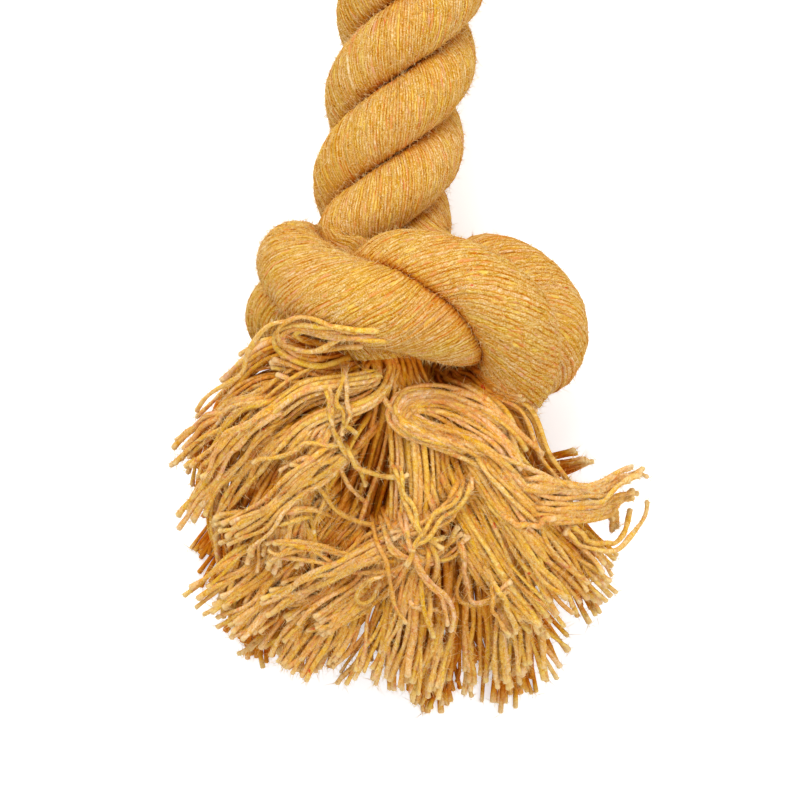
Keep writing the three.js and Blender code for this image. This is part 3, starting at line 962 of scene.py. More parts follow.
LOCKS = (
    LockForm("upper_left_arch", 2, (-0.29, 0.02), (0.54, 0.34), (
        (-0.42, -1.32, 1.24), (-1.25, -1.22, 1.02), (-2.03, -1.7, 0.3), (-2.43, -2.51, -0.6),
        (-2.54, -3.14, -1.2))),
    LockForm("upper_left_fall", 2, (-0.12, 0.27), (0.54, 0.34), (
        (-0.08, -1.36, 1.55), (-0.85, -1.65, 1.32), (-1.58, -2.5, 0.6), (-1.87, -3.67, -0.3),
        (-1.95, -4.54, -1.0))),
    LockForm("upper_left_centre", 2, (-0.04, -0.27), (0.54, 0.34), (
        (0.14, -1.52, 0.82), (-0.28, -2.18, 0.92), (-0.77, -3.2, 0.47), (-1.06, -4.3, -0.18),
        (-1.2, -5.16, -0.8))),
    LockForm("upper_centre", 2, (0.12, 0.05), (0.54, 0.34), (
        (0.58, -1.5, 0.95), (0.52, -2.25, 0.2), (0.34, -3.55, -0.1), (0.06, -4.97, -0.5),
        (-0.02, -5.76, -0.95))),
    LockForm("upper_right_centre", 2, (0.3, -0.04), (0.54, 0.34), (
        (0.94, -1.5, 1.0), (1.22, -2.3, 0.9), (1.42, -3.7, 0.4), (1.55, -5.2, -0.4),
        (1.64, -6.12, -1.0))),
    LockForm("right_front", 0, (0.14, 0.26), (0.54, 0.36), (
        (1.96, -1.22, 0.85), (2.46, -1.58, 0.98), (2.86, -2.36, 0.6), (3.7, -3.3, -0.1),
        (4.4, -4.08, -0.8))),
    LockForm("right_centre", 0, (-0.22, 0.2), (0.54, 0.36), (
        (1.56, -1.44, 0.6), (2.08, -2.1, 0.9), (2.66, -3.12, 0.6), (3.3, -4.17, -0.2),
        (3.78, -4.97, -0.95))),
    LockForm("right_side", 0, (0.28, -0.04), (0.54, 0.34), (
        (1.9, -1.78, -0.1), (2.56, -2.24, 0.02), (3.32, -3.04, -0.4), (4.2, -3.84, -1.1),
        (4.74, -4.3, -1.55))),
    LockForm("right_spray", 0, (-0.14, -0.18), (0.42, 0.32), (
        (1.08, -1.5, -0.12), (1.4, -2.1, -0.7), (2.1, -2.5, -1.15), (2.95, -2.55, -1.25),
        (3.75, -2.5, -1.2), (4.35, -2.38, -1.0), (4.9, -2.2, -1.05))),
    LockForm("lower_left", 1, (-0.28, 0.08), (0.6, 0.38), (
        (-0.58, -1.7, -0.95), (-1.08, -2.87, -1.52), (-1.48, -4.15, -2.0), (-1.76, -5.02, -2.22),
        (-1.9, -5.6, -2.24))),
    LockForm("lower_left_centre", 1, (-0.14, -0.24), (0.6, 0.38), (
        (-0.24, -1.85, -1.25), (-0.38, -3.08, -1.75), (-0.56, -4.44, -2.05), (-0.7, -5.38, -2.22),
        (-0.73, -5.98, -2.24))),
    LockForm("lower_centre", 1, (-0.02, 0.28), (0.6, 0.38), (
        (0.26, -1.85, -0.8), (0.48, -3.12, -1.4), (0.56, -4.53, -1.9), (0.6, -5.61, -2.2),
        (0.72, -6.42, -2.24))),
    LockForm("lower_right_centre", 1, (0.28, 0.06), (0.6, 0.38), (
        (0.86, -1.75, -0.95), (1.38, -2.92, -1.45), (1.82, -4.26, -1.9), (2.14, -5.45, -2.2),
        (2.32, -6.27, -2.24))),
    LockForm("lower_right", 1, (0.16, -0.24), (0.6, 0.38), (
        (1.1, -1.78, -1.42), (2.18, -2.74, -1.7), (2.96, -3.87, -1.98), (3.38, -4.86, -2.22),
        (3.6, -5.69, -2.24))),
)


@dataclass(frozen=True)
class StrayForm:
    """Yarns that lie across the tassel, together and over what is beneath them.

    The route is across and toward the rope, in strand diameters from the rope's axis at the knot.
    """

    route: tuple[tuple[float, float], ...]
    yarns: int = 1
    layers: int = 1
    lift: float = 0.0
    rooted: bool = True


# How far the yarns reach, in strand diameters, by bearing in degrees from the toy's length.
OUTLINE = (
    (-90, 2.4), (-76, 2.9), (-65, 3.5), (-56, 3.85), (-46, 4.0), (-36, 4.4), (-30, 5.1), (-22, 5.4),
    (-12, 5.4), (-3, 5.15), (5, 5.4), (14, 5.8), (21, 5.7), (29, 6.1), (34, 5.8), (40, 5.4), (46, 5.15),
    (52, 5.3), (55, 4.5), (58, 4.0), (62, 3.7), (66, 3.9), (69, 4.2), (72, 3.3), (75, 2.9), (80, 2.7),
    (90, 2.5),
)

BRUSHES = (
    StrayForm(((-0.9, -1.9), (-1.6, -2.7), (-2.1, -3.5), (-2.35, -4.15)), 12, 2),
    StrayForm(((-1.2, -1.6), (-1.9, -2.1), (-2.4, -2.6), (-2.7, -3.05)), 10, 2),
    StrayForm(((0.6, -3.6), (0.3, -4.7), (-0.05, -5.6), (-0.3, -6.25)), 12, 2),
    StrayForm(((1.9, -3.4), (2.1, -4.6), (2.25, -5.6), (2.3, -6.35)), 10, 2),
    StrayForm(((0.9, -3.1), (0.75, -4.4), (0.45, -5.5), (0.1, -6.2)), 12, 2),
    StrayForm(((1.2, -2.9), (1.2, -4.0), (1.1, -5.2), (0.92, -6.25)), 12, 2),
    StrayForm(((1.6, -2.9), (1.75, -4.2), (1.8, -5.4), (1.72, -6.4)), 12, 2),
    StrayForm(((2.0, -2.9), (2.35, -4.1), (2.62, -5.3), (2.78, -6.25)), 12, 2),
    StrayForm(((2.3, -2.7), (2.8, -3.9), (3.2, -5.05), (3.45, -5.95)), 12, 2),
    StrayForm(((0.1, -2.8), (-0.7, -3.9), (-1.45, -4.75), (-2.1, -5.35)), 14, 2),
    StrayForm(((0.5, -3.1), (-0.2, -4.3), (-0.95, -5.25), (-1.55, -5.95)), 14, 2),
    StrayForm(((0.8, -3.2), (0.35, -4.4), (-0.2, -5.4), (-0.65, -6.2)), 12, 2),
    StrayForm(((1.5, -1.9), (2.1, -2.9), (2.95, -3.95), (3.9, -4.9)), 12, 2),
    StrayForm(((1.7, -1.8), (2.45, -2.65), (3.35, -3.5), (4.3, -4.35)), 12, 2),
    StrayForm(((1.9, -1.6), (2.6, -2.35), (3.5, -3.15), (4.65, -4.05)), 12, 2),
    StrayForm(((-0.3, -1.75), (-0.75, -2.6), (-1.0, -3.6), (-1.2, -4.7)), 12, 3),
    StrayForm(((-0.1, -1.9), (-0.45, -2.8), (-0.6, -3.7), (-0.55, -4.5)), 9, 2),
    StrayForm(((1.25, -3.3), (0.6, -3.95), (-0.1, -4.6), (-0.8, -5.05)), 14, 3),
    StrayForm(((1.35, -3.5), (0.85, -4.3), (0.25, -5.0), (-0.25, -5.45)), 12, 3),
    StrayForm(((1.3, -2.4), (1.9, -3.35), (2.75, -4.35), (3.55, -5.15)), 9, 2),
)

STRAYS = BRUSHES + (
    StrayForm(((0.18, -1.23), (0.59, -1.67), (1.01, -1.93), (1.78, -2.13), (2.26, -2.16), (3.08, -2.36),
               (3.56, -2.56), (3.68, -2.94), (3.62, -3.26), (3.44, -3.47)), lift=0.8),
    StrayForm(((-0.58, -1.11), (-0.32, -2.03), (-0.15, -2.3), (0.24, -2.68), (0.45, -3.05)), 2),
    StrayForm(((-0.24, -0.9), (-0.23, -1.62), (-0.09, -2.0), (0.06, -2.34)), 2),
    StrayForm(((0.02, -2.3), (-0.3, -2.36), (-0.63, -2.37), (-1.02, -2.66), (-1.58, -2.89))),
    StrayForm(((0.52, -3.27), (-0.07, -2.85), (-0.5, -2.62), (-0.83, -2.63), (-1.21, -2.95))),
    StrayForm(((0.75, -3.5), (0.36, -3.55), (-0.1, -3.35), (-0.42, -2.94), (-0.76, -2.65), (-0.95, -2.72))),
    StrayForm(((-0.09, -2.26), (0.2, -2.62), (0.58, -2.73), (0.9, -2.69), (1.04, -2.5))),
    StrayForm(((-0.07, -3.55), (-0.48, -3.49), (-0.89, -3.57), (-1.43, -3.77), (-1.98, -3.85)), 3),
    StrayForm(((0.1, -2.3), (-0.59, -2.93), (-0.99, -3.38), (-1.36, -3.8), (-1.86, -4.2)), 9, 2),
    StrayForm(((1.25, -3.95), (0.77, -4.14), (0.3, -4.19), (-0.27, -4.11), (-0.73, -4.14),
               (-1.21, -4.35)), 5),
    StrayForm(((1.4, -3.6), (0.6, -4.0), (-0.05, -4.45), (-0.6, -4.9), (-1.05, -5.2)), 8, 2),
    StrayForm(((0.5, -3.35), (0.67, -3.76), (0.96, -4.28), (1.16, -4.88), (1.36, -5.26)), lift=0.4),
    StrayForm(((0.6, -3.2), (0.74, -3.47), (1.01, -3.86), (1.45, -3.93), (1.85, -3.69), (2.16, -3.19)), 5, 2),
    StrayForm(((1.91, -2.35), (1.94, -2.79), (1.67, -3.25), (1.15, -3.63), (0.79, -3.76)), 3, lift=0.5),
    StrayForm(((0.97, -4.28), (0.71, -4.41), (0.51, -4.72), (0.64, -4.85), (0.94, -4.61))),
    StrayForm(((1.27, -4.62), (1.48, -4.83), (1.81, -4.82), (2.06, -4.6), (2.12, -4.32))),
    StrayForm(((3.5, -2.98), (3.92, -3.24), (4.04, -3.37), (4.34, -3.41), (4.62, -3.29), (4.82, -2.83),
               (4.91, -2.55)), 2),
    StrayForm(((3.3, -2.5), (3.68, -2.58), (4.08, -2.6), (4.41, -2.84), (4.57, -3.19)), 5, 2),
    StrayForm(((2.6, -2.55), (3.46, -2.57), (4.14, -2.48), (4.54, -2.24), (4.92, -2.14)), 8, 3),
    StrayForm(((2.9, -3.0), (3.58, -2.95), (4.19, -2.83), (4.58, -2.55), (4.97, -2.35)), 7, 3),
    StrayForm(((2.73, -2.43), (2.26, -2.13), (1.76, -1.97), (1.22, -1.88), (0.88, -1.74), (1.0, -1.56),
               (1.4, -1.48), (1.87, -1.56), (2.35, -1.78), (2.72, -2.1), (3.02, -2.5)), 16, 4, 0.5, False),
    StrayForm(((0.59, -0.5), (-0.06, -0.57), (-0.55, -0.58), (-1.08, -0.58), (-1.33, -0.77), (-1.1, -0.94),
               (-0.63, -0.95), (-0.04, -0.76), (0.42, -0.7)), 7, 3, 0.3, False),
    StrayForm(((-1.2, -0.5), (-1.46, -0.57), (-1.65, -0.8), (-1.8, -1.11), (-1.87, -1.36), (-2.12, -1.66),
               (-2.57, -2.21)), 1, 1, 0.3, False),
    StrayForm(((2.5, -3.05), (2.99, -3.2), (3.35, -3.17), (3.65, -2.94))),
    StrayForm(((1.85, -3.31), (2.1, -3.94), (2.25, -4.53), (2.63, -4.52), (3.04, -4.19)), 2),
    StrayForm(((1.25, -3.4), (1.58, -4.01), (1.59, -4.67), (1.93, -5.28)), 2),
    StrayForm(((2.39, -3.9), (2.81, -4.5), (3.06, -5.13)), 2),
    StrayForm(((0.96, -3.11), (1.29, -4.05), (1.83, -4.64), (2.05, -5.43)), 2),
    StrayForm(((0.77, -2.39), (0.99, -3.1), (1.35, -3.55), (1.87, -3.72)), 2),
    StrayForm(((2.02, -2.46), (1.85, -2.98), (1.49, -3.36), (1.26, -4.06)), 2),
)


@dataclass
class Drape:
    """The top of what lies in place, as heights over a square grid."""

    middle: tuple[float, float]
    half_width: float = 75.0
    cell: float = 0.5
    steepest: float = 0.9
    evened: int = 3

    def __post_init__(self) -> None:
        """Start with the bare floor."""
        count = int(2 * self.half_width / self.cell)
        self.tops = np.zeros((count, count))

    def cells(self, points: Array) -> tuple[Array, Array]:
        """Return the grid places of points."""
        place = (points[..., :2] - self.middle + self.half_width) / self.cell
        place = np.clip(place.astype(int), 1, len(self.tops) - 2)
        return place[..., 0], place[..., 1]

    def cover(self, points: Array, radius: float) -> None:
        """Raise the top to yarns or strands whose surface reaches a radius above these points."""
        row, column = self.cells(points.reshape(-1, 3))
        height = points.reshape(-1, 3)[:, 2] + radius
        for across, beside in itertools.product((-1, 0, 1), repeat=2):
            np.maximum.at(self.tops, (row + across, column + beside), height)

    def soften(self, rounds: int = 60) -> None:
        """Even out the top, to tell what lies below it from what makes it."""
        tops = self.tops
        for _ in range(rounds):
            tops[1:-1, 1:-1] = (tops[:-2, 1:-1] + tops[2:, 1:-1] + tops[1:-1, :-2] + tops[1:-1, 2:]) / 4

    def depth(self, points: Array) -> Array:
        """Return how far points lie below the top."""
        return self.tops[self.cells(points)] - points[..., 2]

    def rest(self, plan: Array, radius: float) -> Array:
        """Return how high a yarn lies over its plan, where it falls no steeper than it can."""
        height = self.tops[self.cells(plan)] + radius
        steps = np.linalg.norm(np.diff(plan[:, :2], axis=0), axis=1) * self.steepest
        for i in range(1, len(height)):
            height[i] = max(height[i], height[i - 1] - steps[i - 1])
        for i in range(len(height) - 2, -1, -1):
            height[i] = max(height[i], height[i + 1] - steps[i])
        wide = 2 * self.evened + 1
        soft = np.convolve(np.pad(height, self.evened, mode="edge"), np.ones(wide) / wide, mode="valid")
        return np.maximum(soft, radius)


@dataclass
class YarnHeap:
    """Loose yarns that lie on each other, on the strands and on the floor.

    In each round they sink a little, are drawn back toward where they started, part where they
    overlap and keep their length.
    """

    radius: float = 0.47
    rounds: int = 36
    pinned: int = 5
    sink: float = 0.05
    home_pull: float = 0.012
    stiffness: float = 0.16
    yielding: float = 0.55
    strand_margin: float = 9.0

    def contacts(self, points: Array, owner: Array) -> Array:
        """Return the push on each point that parts the yarns that overlap there.

        The points are sorted into cells, and each cell is met with itself and half of its neighbours,
        so that a pair is met once.

        Args:
            points: All yarns' points, one a row.
            owner: The yarn that each point belongs to.

        Returns:
            The push on each point.
        """
        cell = np.floor((points - points.min(axis=0)) / (2 * self.radius)).astype(np.int64) + 1
        wide = cell.max(axis=0) + 2
        key = (cell[:, 0] * wide[1] + cell[:, 1]) * wide[2] + cell[:, 2]
        order = np.argsort(key, kind="stable")
        sorted_key = key[order]
        push = np.zeros_like(points)
        half_round = [step for step in itertools.product((-1, 0, 1), repeat=3) if step >= (0, 0, 0)]
        for dx, dy, dz in half_round:
            shift = (dx * wide[1] + dy) * wide[2] + dz
            first = np.searchsorted(sorted_key, key + shift, "left")
            last = np.searchsorted(sorted_key, key + shift, "right")
            count = last - first
            a = np.repeat(np.arange(len(points)), count)
            offset = np.arange(count.sum()) - np.repeat(np.cumsum(count) - count, count)
            b = order[np.repeat(first, count) + offset]
            keep = owner[a] != owner[b]
            if shift == 0:
                keep &= a < b
            a, b = a[keep], b[keep]
            apart = points[a] - points[b]
            distance = np.linalg.norm(apart, axis=1)
            close = (distance < 2 * self.radius) & (distance > 1e-6)
            a, b, apart, distance = a[close], b[close], apart[close], distance[close]
            move = apart * ((2 * self.radius - distance) / distance / 2)[:, None]
            for axis, size in enumerate(move.T):
                push[:, axis] += np.bincount(a, size, len(points)) - np.bincount(b, size, len(points))
        return push

    def settle(self, paths: Array, strands: Array, sizes: Array, clear_from: int) -> Array:
        """Let yarns fall until they lie on each other.

        Args:
            paths: The yarns, shaped (yarns, points, 3).
            strands: Middles of the knot's strands, which the yarns lie outside.
            sizes: Their radii.
            clear_from: The first point of a yarn that stays outside the strands.

        Returns:
            The settled yarns.
        """
        home = paths.copy()
        paths = paths.copy()
        yarns, points, _ = paths.shape
        step = np.linalg.norm(np.diff(home, axis=1), axis=2)
        owner = np.repeat(np.arange(yarns), points)
        rounds = self.rounds
        for _ in range(rounds):
            free = paths[:, self.pinned:]
            free[..., 2] -= self.sink
            free += (home[:, self.pinned:] - free) * self.home_pull
            push = self.contacts(paths.reshape(-1, 3), owner).reshape(paths.shape)
            paths[:, self.pinned:] += self.yielding * push[:, self.pinned:]
            paths[:, clear_from:] = self.outside(paths[:, clear_from:], strands, sizes)
            middle = (paths[:, :-2] + paths[:, 2:]) / 2
            paths[:, 1:-1][:, self.pinned:] += self.stiffness * (middle - paths[:, 1:-1])[:, self.pinned:]
            for i in range(self.pinned, points):
                reach = paths[:, i] - paths[:, i - 1]
                paths[:, i] = paths[:, i - 1] + unit(reach) * step[:, i - 1 : i]
            paths[..., 2] = np.maximum(paths[..., 2], self.radius)
        return paths

    def outside(self, paths: Array, strands: Array, sizes: Array) -> Array:
        """Return yarns moved out of the strands that they would lie in."""
        points = paths.reshape(-1, 3).copy()
        low, high = strands.min(axis=0) - self.strand_margin, strands.max(axis=0) + self.strand_margin
        near = np.flatnonzero(((points > low) & (points < high)).all(axis=1))
        if len(near):
            apart = points[near, None] - strands[None]
            distance = np.linalg.norm(apart, axis=2)
            depth = sizes[None] + self.radius - distance
            worst = np.arange(len(near)), depth.argmax(axis=1)
            points[near] += unit(apart[worst]) * np.maximum(depth[worst], 0.0)[:, None]
        return points.reshape(paths.shape)


@dataclass(frozen=True)
class Tier:
    """A tuft's share of its lock: where it lies in the section, and how far down it ends."""

    yarns: int
    across: float
    up: float
    reach: float
    length: float


@dataclass(frozen=True)
class YarnShape:
    """How thick a loose yarn is along its length, in shares of its radius."""

    sides: int = 5
    uneven: float = 0.11
    bumps: int = 20
    from_yarn_to_yarn: float = 0.08
    thinnest: float = 0.72
    thickest: float = 1.3
    end_flare: float = 0.34
    flare_from: float = 0.94
    end_cap: float = 0.55
    lowest: float = 0.05
    numbers_apart: float = 3.0
    frayed: float = 1.6
    least_frayed: float = 0.3


@dataclass(frozen=True)
class StrayLie:
    """How the stray yarns lie: their spacing, their sway and how deep their ends go in.

    Sway and fan are the values at the two ends of a yarn. A dip is a depth in millimetres and the
    number of points that it takes.
    """

    spacing: float = 2.0
    layer_shift: float = 0.9
    brush_fan: tuple[float, float] = (0.95, 1.5)
    fine_sway: tuple[float, float, float, int] = (0.3, 1.0, 0.6, 8)
    wide_sway: tuple[float, float, float, int] = (0.2, 1.0, 0.7, 3)
    far_spread: float = 2.2
    ragged_rooted: float = 0.12
    ragged_loose: float = 0.22
    rooted_dip: tuple[float, float] = (5.0, 8.0)
    loose_dip: tuple[float, float] = (2.0, 5.0)
    cover: float = 0.8


@dataclass
class Tassel:
    """One end's tassel: the strands' ends come apart into yarns, which fall in locks."""

    lay: RopeLay
    strands: LaidStrands
    end: End
    seed: int
    yarns_a_lock: int = 38
    rings: int = 38
    guide_points: int = 160
    cut_points: int = 200
    root_share: float = 0.62
    tip_share: float = 1.12
    inside: float = 6.0
    straight: float = 0.34
    opening: float = 0.45
    loosening: float = 1.3
    tuft_wander: float = 2.3
    yarn_wander: float = 0.9
    spot_spread: float = 0.06
    crimp: float = 0.33
    crimp_length: float = 17.0
    crimp_spread: float = 0.5
    yaw: float = 0.08
    tuft_length_spread: float = 0.03
    yarn_length_spread: float = 0.012
    short_yarns: float = 0.08
    short_length: float = 0.93
    outline_root: Place = (0.55, -0.9, 0.0)
    middle: Place = (0.8, -2.5, 0.0)
    past_tip: float = 0.8
    strand_give: float = 0.97
    clear_from: int = 9
    open_depth: float = 2.5
    fall_tiers: tuple[Tier, ...] = (
        Tier(8, 0.10, 0.65, 0.40, 0.70),
        Tier(8, -0.60, 0.25, 0.40, 0.84),
        Tier(8, 0.60, 0.10, 0.40, 0.92),
        Tier(7, -0.25, -0.35, 0.40, 0.96),
        Tier(7, 0.35, -0.65, 0.40, 1.0),
    )
    floor_tiers: tuple[Tier, ...] = (
        Tier(8, 0.0, 0.65, 0.46, 0.80),
        Tier(8, -0.80, 0.25, 0.46, 0.92),
        Tier(8, 0.80, 0.10, 0.46, 0.96),
        Tier(7, -0.60, -0.45, 0.46, 1.0),
        Tier(7, 0.60, -0.65, 0.46, 1.03),
    )
    heap: YarnHeap = field(default_factory=YarnHeap)
    shape: YarnShape = YarnShape()
    lie: StrayLie = StrayLie()
    # Depth below the tassel's top, in millimetres, at which the painted shade is full.
    deep: float = 5.5
    paths: Array = field(init=False)
    drape: Drape = field(init=False)
    strays: Array = field(init=False)
    stray_piece: bpy.types.Object = field(init=False)
    pieces: list[bpy.types.Object] = field(default_factory=list)

    def cut_end(self, route: int) -> tuple[Array, Array]:
        """Return the middle of the cut end of the strand on a route, and the way that it points."""
        strand = [k for k in range(3) if self.lay.route_number(k, self.end) == route][0]
        centre = self.strands.centres[strand]
        tip, before = (centre[0], centre[4]) if self.end is End.NEAR else (centre[-1], centre[-5])
        return tip, unit(tip - before)

    def guide(self, form: LockForm) -> Array:
        """Return the middle line of a lock, from inside its strand to past its tip."""
        tip, along = self.cut_end(form.end)
        side = self.end.value
        across = unit(np.array([side, 0.0, 0.0]) - along * side * along[0])
        up = np.cross(along, across)
        root = tip + across * self.lay.strand * form.root[0] + up * self.lay.strand * form.root[1]
        lift = np.array([0.0, 0.0, self.lay.axis_height])
        route = [self.lay.end_point(shares, self.end) + lift for shares in form.route]
        past = route[-1] + (route[-1] - route[-2]) * self.past_tip
        straight = root + along * self.straight * self.lay.strand
        points = [root - along * self.inside, root, straight, *route, past]
        return smooth_curve(np.array(points), self.guide_points)

    def lock_paths(self, form: LockForm, rng: np.random.Generator) -> Array:
        """Return the paths of the yarns of one lock before they settle.

        A lock falls in tufts whose yarns end together, the upper ones short of the lower ones.
        """
        guide = self.guide(form)
        travel = path_travel(guide)
        tip_at = travel[-1] * (1 - self.past_tip / (len(form.route) + self.past_tip))
        tangent = unit(np.gradient(guide, axis=0))
        flat = unit(np.cross(tangent, [0.0, 0.0, 1.0]))
        rise = np.cross(flat, tangent)
        tiers = self.floor_tiers if form.end == 1 else self.fall_tiers
        share = np.linspace(0, 1, self.rings)
        locks = []
        for tier in tiers:
            count = tier.yarns
            spot = np.sqrt((np.arange(count) + 0.5) / count)
            angle = np.arange(count) * GOLDEN_ANGLE + rng.uniform(0, TURN)
            disc = tier.reach * np.stack([spot * np.cos(angle), spot * np.sin(angle)], axis=1)
            disc += [tier.across, tier.up]
            disc += rng.normal(scale=self.spot_spread, size=disc.shape)
            wanted = np.tile(share * travel[-1], (count, 1))
            middle, flat_at, rise_at = (along_path(line, travel, wanted) for line in (guide, flat, rise))
            opening = eased(np.clip(wanted / (self.opening * tip_at), 0, 1)[..., None])
            size = self.root_share + (1 - self.root_share) * opening
            size = size + (self.tip_share - 1) * np.clip(wanted / tip_at, 0, 1.1)[..., None]
            width = self.lay.strand * form.half[0] * size
            height = self.lay.strand * form.half[1] * size
            paths = middle + flat_at * disc[:, None, :1] * width + rise_at * disc[:, None, 1:] * height
            loosening = np.clip((wanted - self.inside) / tip_at, 0, 1)[..., None] ** self.loosening
            paths += loosening * self.tuft_wander * wander(rng, 1, self.rings, 3)
            paths += loosening * self.yarn_wander * wander(rng, count, self.rings, 5)
            paths += flat_at * loosening * (wanted[..., None] * rng.normal(scale=self.yaw))
            crimp = TURN * wanted / self.crimp_length + rng.uniform(0, TURN)
            crimp += rng.normal(scale=self.crimp_spread, size=(count, 1))
            amount = self.crimp * np.clip(loosening * 4, 0, 1)
            paths += amount * (np.cos(crimp)[..., None] * flat_at + np.sin(crimp)[..., None] * rise_at)
            reach = tier.length * rng.normal(1.0, self.tuft_length_spread)
            reach = reach * rng.normal(1.0, self.yarn_length_spread, count)
            reach[rng.random(count) < self.short_yarns] *= self.short_length
            locks += [self.cut(path, part) for path, part in zip(paths, reach)]
        return np.array(locks)

    def cut(self, path: Array, part: float) -> Array:
        """Return a yarn cut where it passes a part of the way to the tassel's outline."""
        dense = smooth_curve(path, self.cut_points)
        middle = self.lay.end_point(self.outline_root, self.end)
        shares = (dense[:, :2] - middle[:2]) * self.end.value / self.lay.strand
        bearing = np.degrees(np.arctan2(shares[:, 0], -shares[:, 1]))
        past = np.hypot(shares[:, 0], shares[:, 1]) > part * np.interp(bearing, *np.array(OUTLINE).T)
        past[: len(past) // 4] = False
        end = int(np.argmax(past)) if past.any() else len(dense)
        return smooth_curve(dense[:end], self.rings)

    def build(self) -> None:
        """Make the tassel's yarns and settle them."""
        rng = np.random.default_rng(self.seed)
        paths = np.vstack([self.lock_paths(form, rng) for form in LOCKS])
        middles = np.vstack(self.strands.centres)
        here = middles[:, 1] * self.end.value < -self.lay.half_rope
        middles = middles[here][::2]
        sizes = self.lay.radius_at(middles) * self.strand_give
        self.paths = self.heap.settle(paths, middles, sizes, self.clear_from)
        self.strays = self.lay_strays(rng)
        self.drape.soften()
        for number, form in enumerate(LOCKS):
            own = self.paths[number * self.yarns_a_lock : (number + 1) * self.yarns_a_lock]
            name = f"{self.end.label}_yarns_{form.name}"
            self.pieces.append(self.tubes(name, own, number * self.yarns_a_lock, rng))
        self.stray_piece = self.tubes(f"{self.end.label}_yarns_stray", self.strays, len(self.paths), rng)
        LOG.info("%s tassel: %d yarns and %d strays", self.end.label, len(self.paths), len(self.strays))

    def in_open(self) -> tuple[Array, Array]:
        """Return all yarns, and which of their points lie near the tassel's top."""
        yarns = np.vstack([self.paths, self.strays])
        return yarns, self.drape.depth(yarns) < self.open_depth

    def lay_strays(self, rng: np.random.Generator) -> Array:
        """Return the yarns that lie across the settled ones, each over those before it."""
        radius = self.heap.radius
        middle = self.lay.end_point(self.middle, self.end)
        self.drape = Drape((middle[0], middle[1]))
        self.drape.cover(self.paths, radius)
        for surface in self.strands.surfaces:
            self.drape.cover(surface, 0.0)
        laid = []
        for form in STRAYS:
            plan = np.array([self.lay.end_point((x, y, 0.0), self.end) for x, y in form.route])
            if self.end is End.FAR:
                plan += rng.normal(scale=self.lie.far_spread, size=plan.shape) * [1, 1, 0]
            guide = smooth_curve(plan, self.rings)
            along = unit(np.gradient(guide, axis=0))
            beside = np.stack([-along[:, 1], along[:, 0], np.zeros(len(along))], axis=1)
            own = [self.stray(form, number, guide, beside, rng) for number in range(form.yarns)]
            self.drape.cover(np.array(own), radius * self.lie.cover)
            laid += own
        return np.array(laid)

    def stray(
        self, form: StrayForm, number: int, guide: Array, beside: Array, rng: np.random.Generator
    ) -> Array:
        """Return one yarn of a form, laid over what is in place.

        Args:
            form: The form that the yarn belongs to.
            number: The yarn's number in it.
            guide: The form's middle line, seen from above.
            beside: The direction across it at each point.
            rng: The source of chance.

        Returns:
            The yarn's points, one a row.
        """
        lie, rings = self.lie, self.rings
        across = math.ceil(form.yarns / form.layers)
        fan = np.linspace(*lie.brush_fan, rings)[:, None] if form in BRUSHES else 1.0
        offset = (number % across - (across - 1) / 2) * lie.spacing * self.heap.radius
        layer = number // across
        yarn = guide + beside * (offset + layer * lie.layer_shift * self.heap.radius) * fan
        for start, end, amount, knots in (lie.fine_sway, lie.wide_sway):
            yarn = yarn + np.linspace(start, end, rings)[:, None] * amount * wander(rng, 1, rings, knots)[0]
        ragged = lie.ragged_rooted if form.rooted else lie.ragged_loose
        skip = 0.0 if form.yarns == 1 else rng.uniform(0.0, ragged)
        keep = 1.0 - rng.uniform(0.0, ragged)
        yarn = smooth_curve(yarn[int(rings * skip) : int(rings * keep)], rings)
        yarn[:, 2] = self.drape.rest(yarn, self.heap.radius) + form.lift
        from_end = np.arange(rings)
        if not form.rooted:
            from_end = np.minimum(from_end, from_end[::-1])
        deep, points = lie.rooted_dip if form.rooted else lie.loose_dip
        yarn[:, 2] -= deep * np.clip(1 - from_end / points, 0, 1) ** 2
        return yarn

    def tubes(self, name: str, paths: Array, first: int, rng: np.random.Generator) -> bpy.types.Object:
        """Make yarns into one piece.

        Args:
            name: The piece's name.
            paths: The yarns' centre lines.
            first: The first yarn's number, for its colour.
            rng: The source of chance.

        Returns:
            The piece.
        """
        shape = self.shape
        end = paths[:, -1] + unit(paths[:, -1] - paths[:, -2]) * self.heap.radius * shape.end_cap
        paths = np.concatenate([paths, end[:, None]], axis=1)
        count, rings, _ = paths.shape
        thickness = 1 + shape.uneven * wander(rng, count, rings, shape.bumps)[..., 0]
        flare = np.clip((np.linspace(0, 1, rings) - shape.flare_from) / (1 - shape.flare_from), 0, 1)
        thickness *= rng.normal(1.0, shape.from_yarn_to_yarn, (count, 1))
        radii = self.heap.radius * np.clip(thickness, shape.thinnest, shape.thickest)
        radii = radii * (1 + shape.end_flare * flare**1.5)
        radii[:, -1] *= shape.end_cap
        surface = tube_surface(paths, radii, shape.sides)
        surface[..., 2] = np.maximum(surface[..., 2], shape.lowest)
        numbers = (first + np.arange(count)) * shape.numbers_apart + self.seed * 100
        travel = path_travel(paths)
        # Painted shade: yarns that lie deeper below the tassel's top get darker and warmer; near its cut end
        # a yarn is painted paler instead.
        painted_shade_and_fray = np.clip(self.drape.depth(surface) / self.deep, 0, 1)
        frayed = np.clip(1 - (travel[:, -1:] - travel)[..., None] / shape.frayed, 0, 1)
        painted_shade_and_fray = painted_shade_and_fray - frayed * (shape.least_frayed + (1 - shape.least_frayed) * (1 - painted_shade_and_fray))
        return rolled_tubes(name, surface, travel, numbers, 1.0, painted_shade_and_fray)

    def dress(self) -> None:
        """Give the yarns their finish and put each lock in place of its solid."""
        finish = bpy.data.materials.get(IN_YARNS.name) or IN_YARNS.material()
        for form, piece in zip(LOCKS, self.pieces):
            piece.data.materials.append(finish)
            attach(piece, "root")
            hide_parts(f"{self.end.label}_tassel_{form.name}")
        self.stray_piece.data.materials.append(finish)
        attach(self.stray_piece, "root")


# The studio.


@dataclass(frozen=True)
class Lamp:
    """A square soft lamp, its place and width in millimetres and its power in watts.

    The place is measured from the view's middle, which the lamp points at.
    """

    name: str
    place: Place
    width: float
    power: float


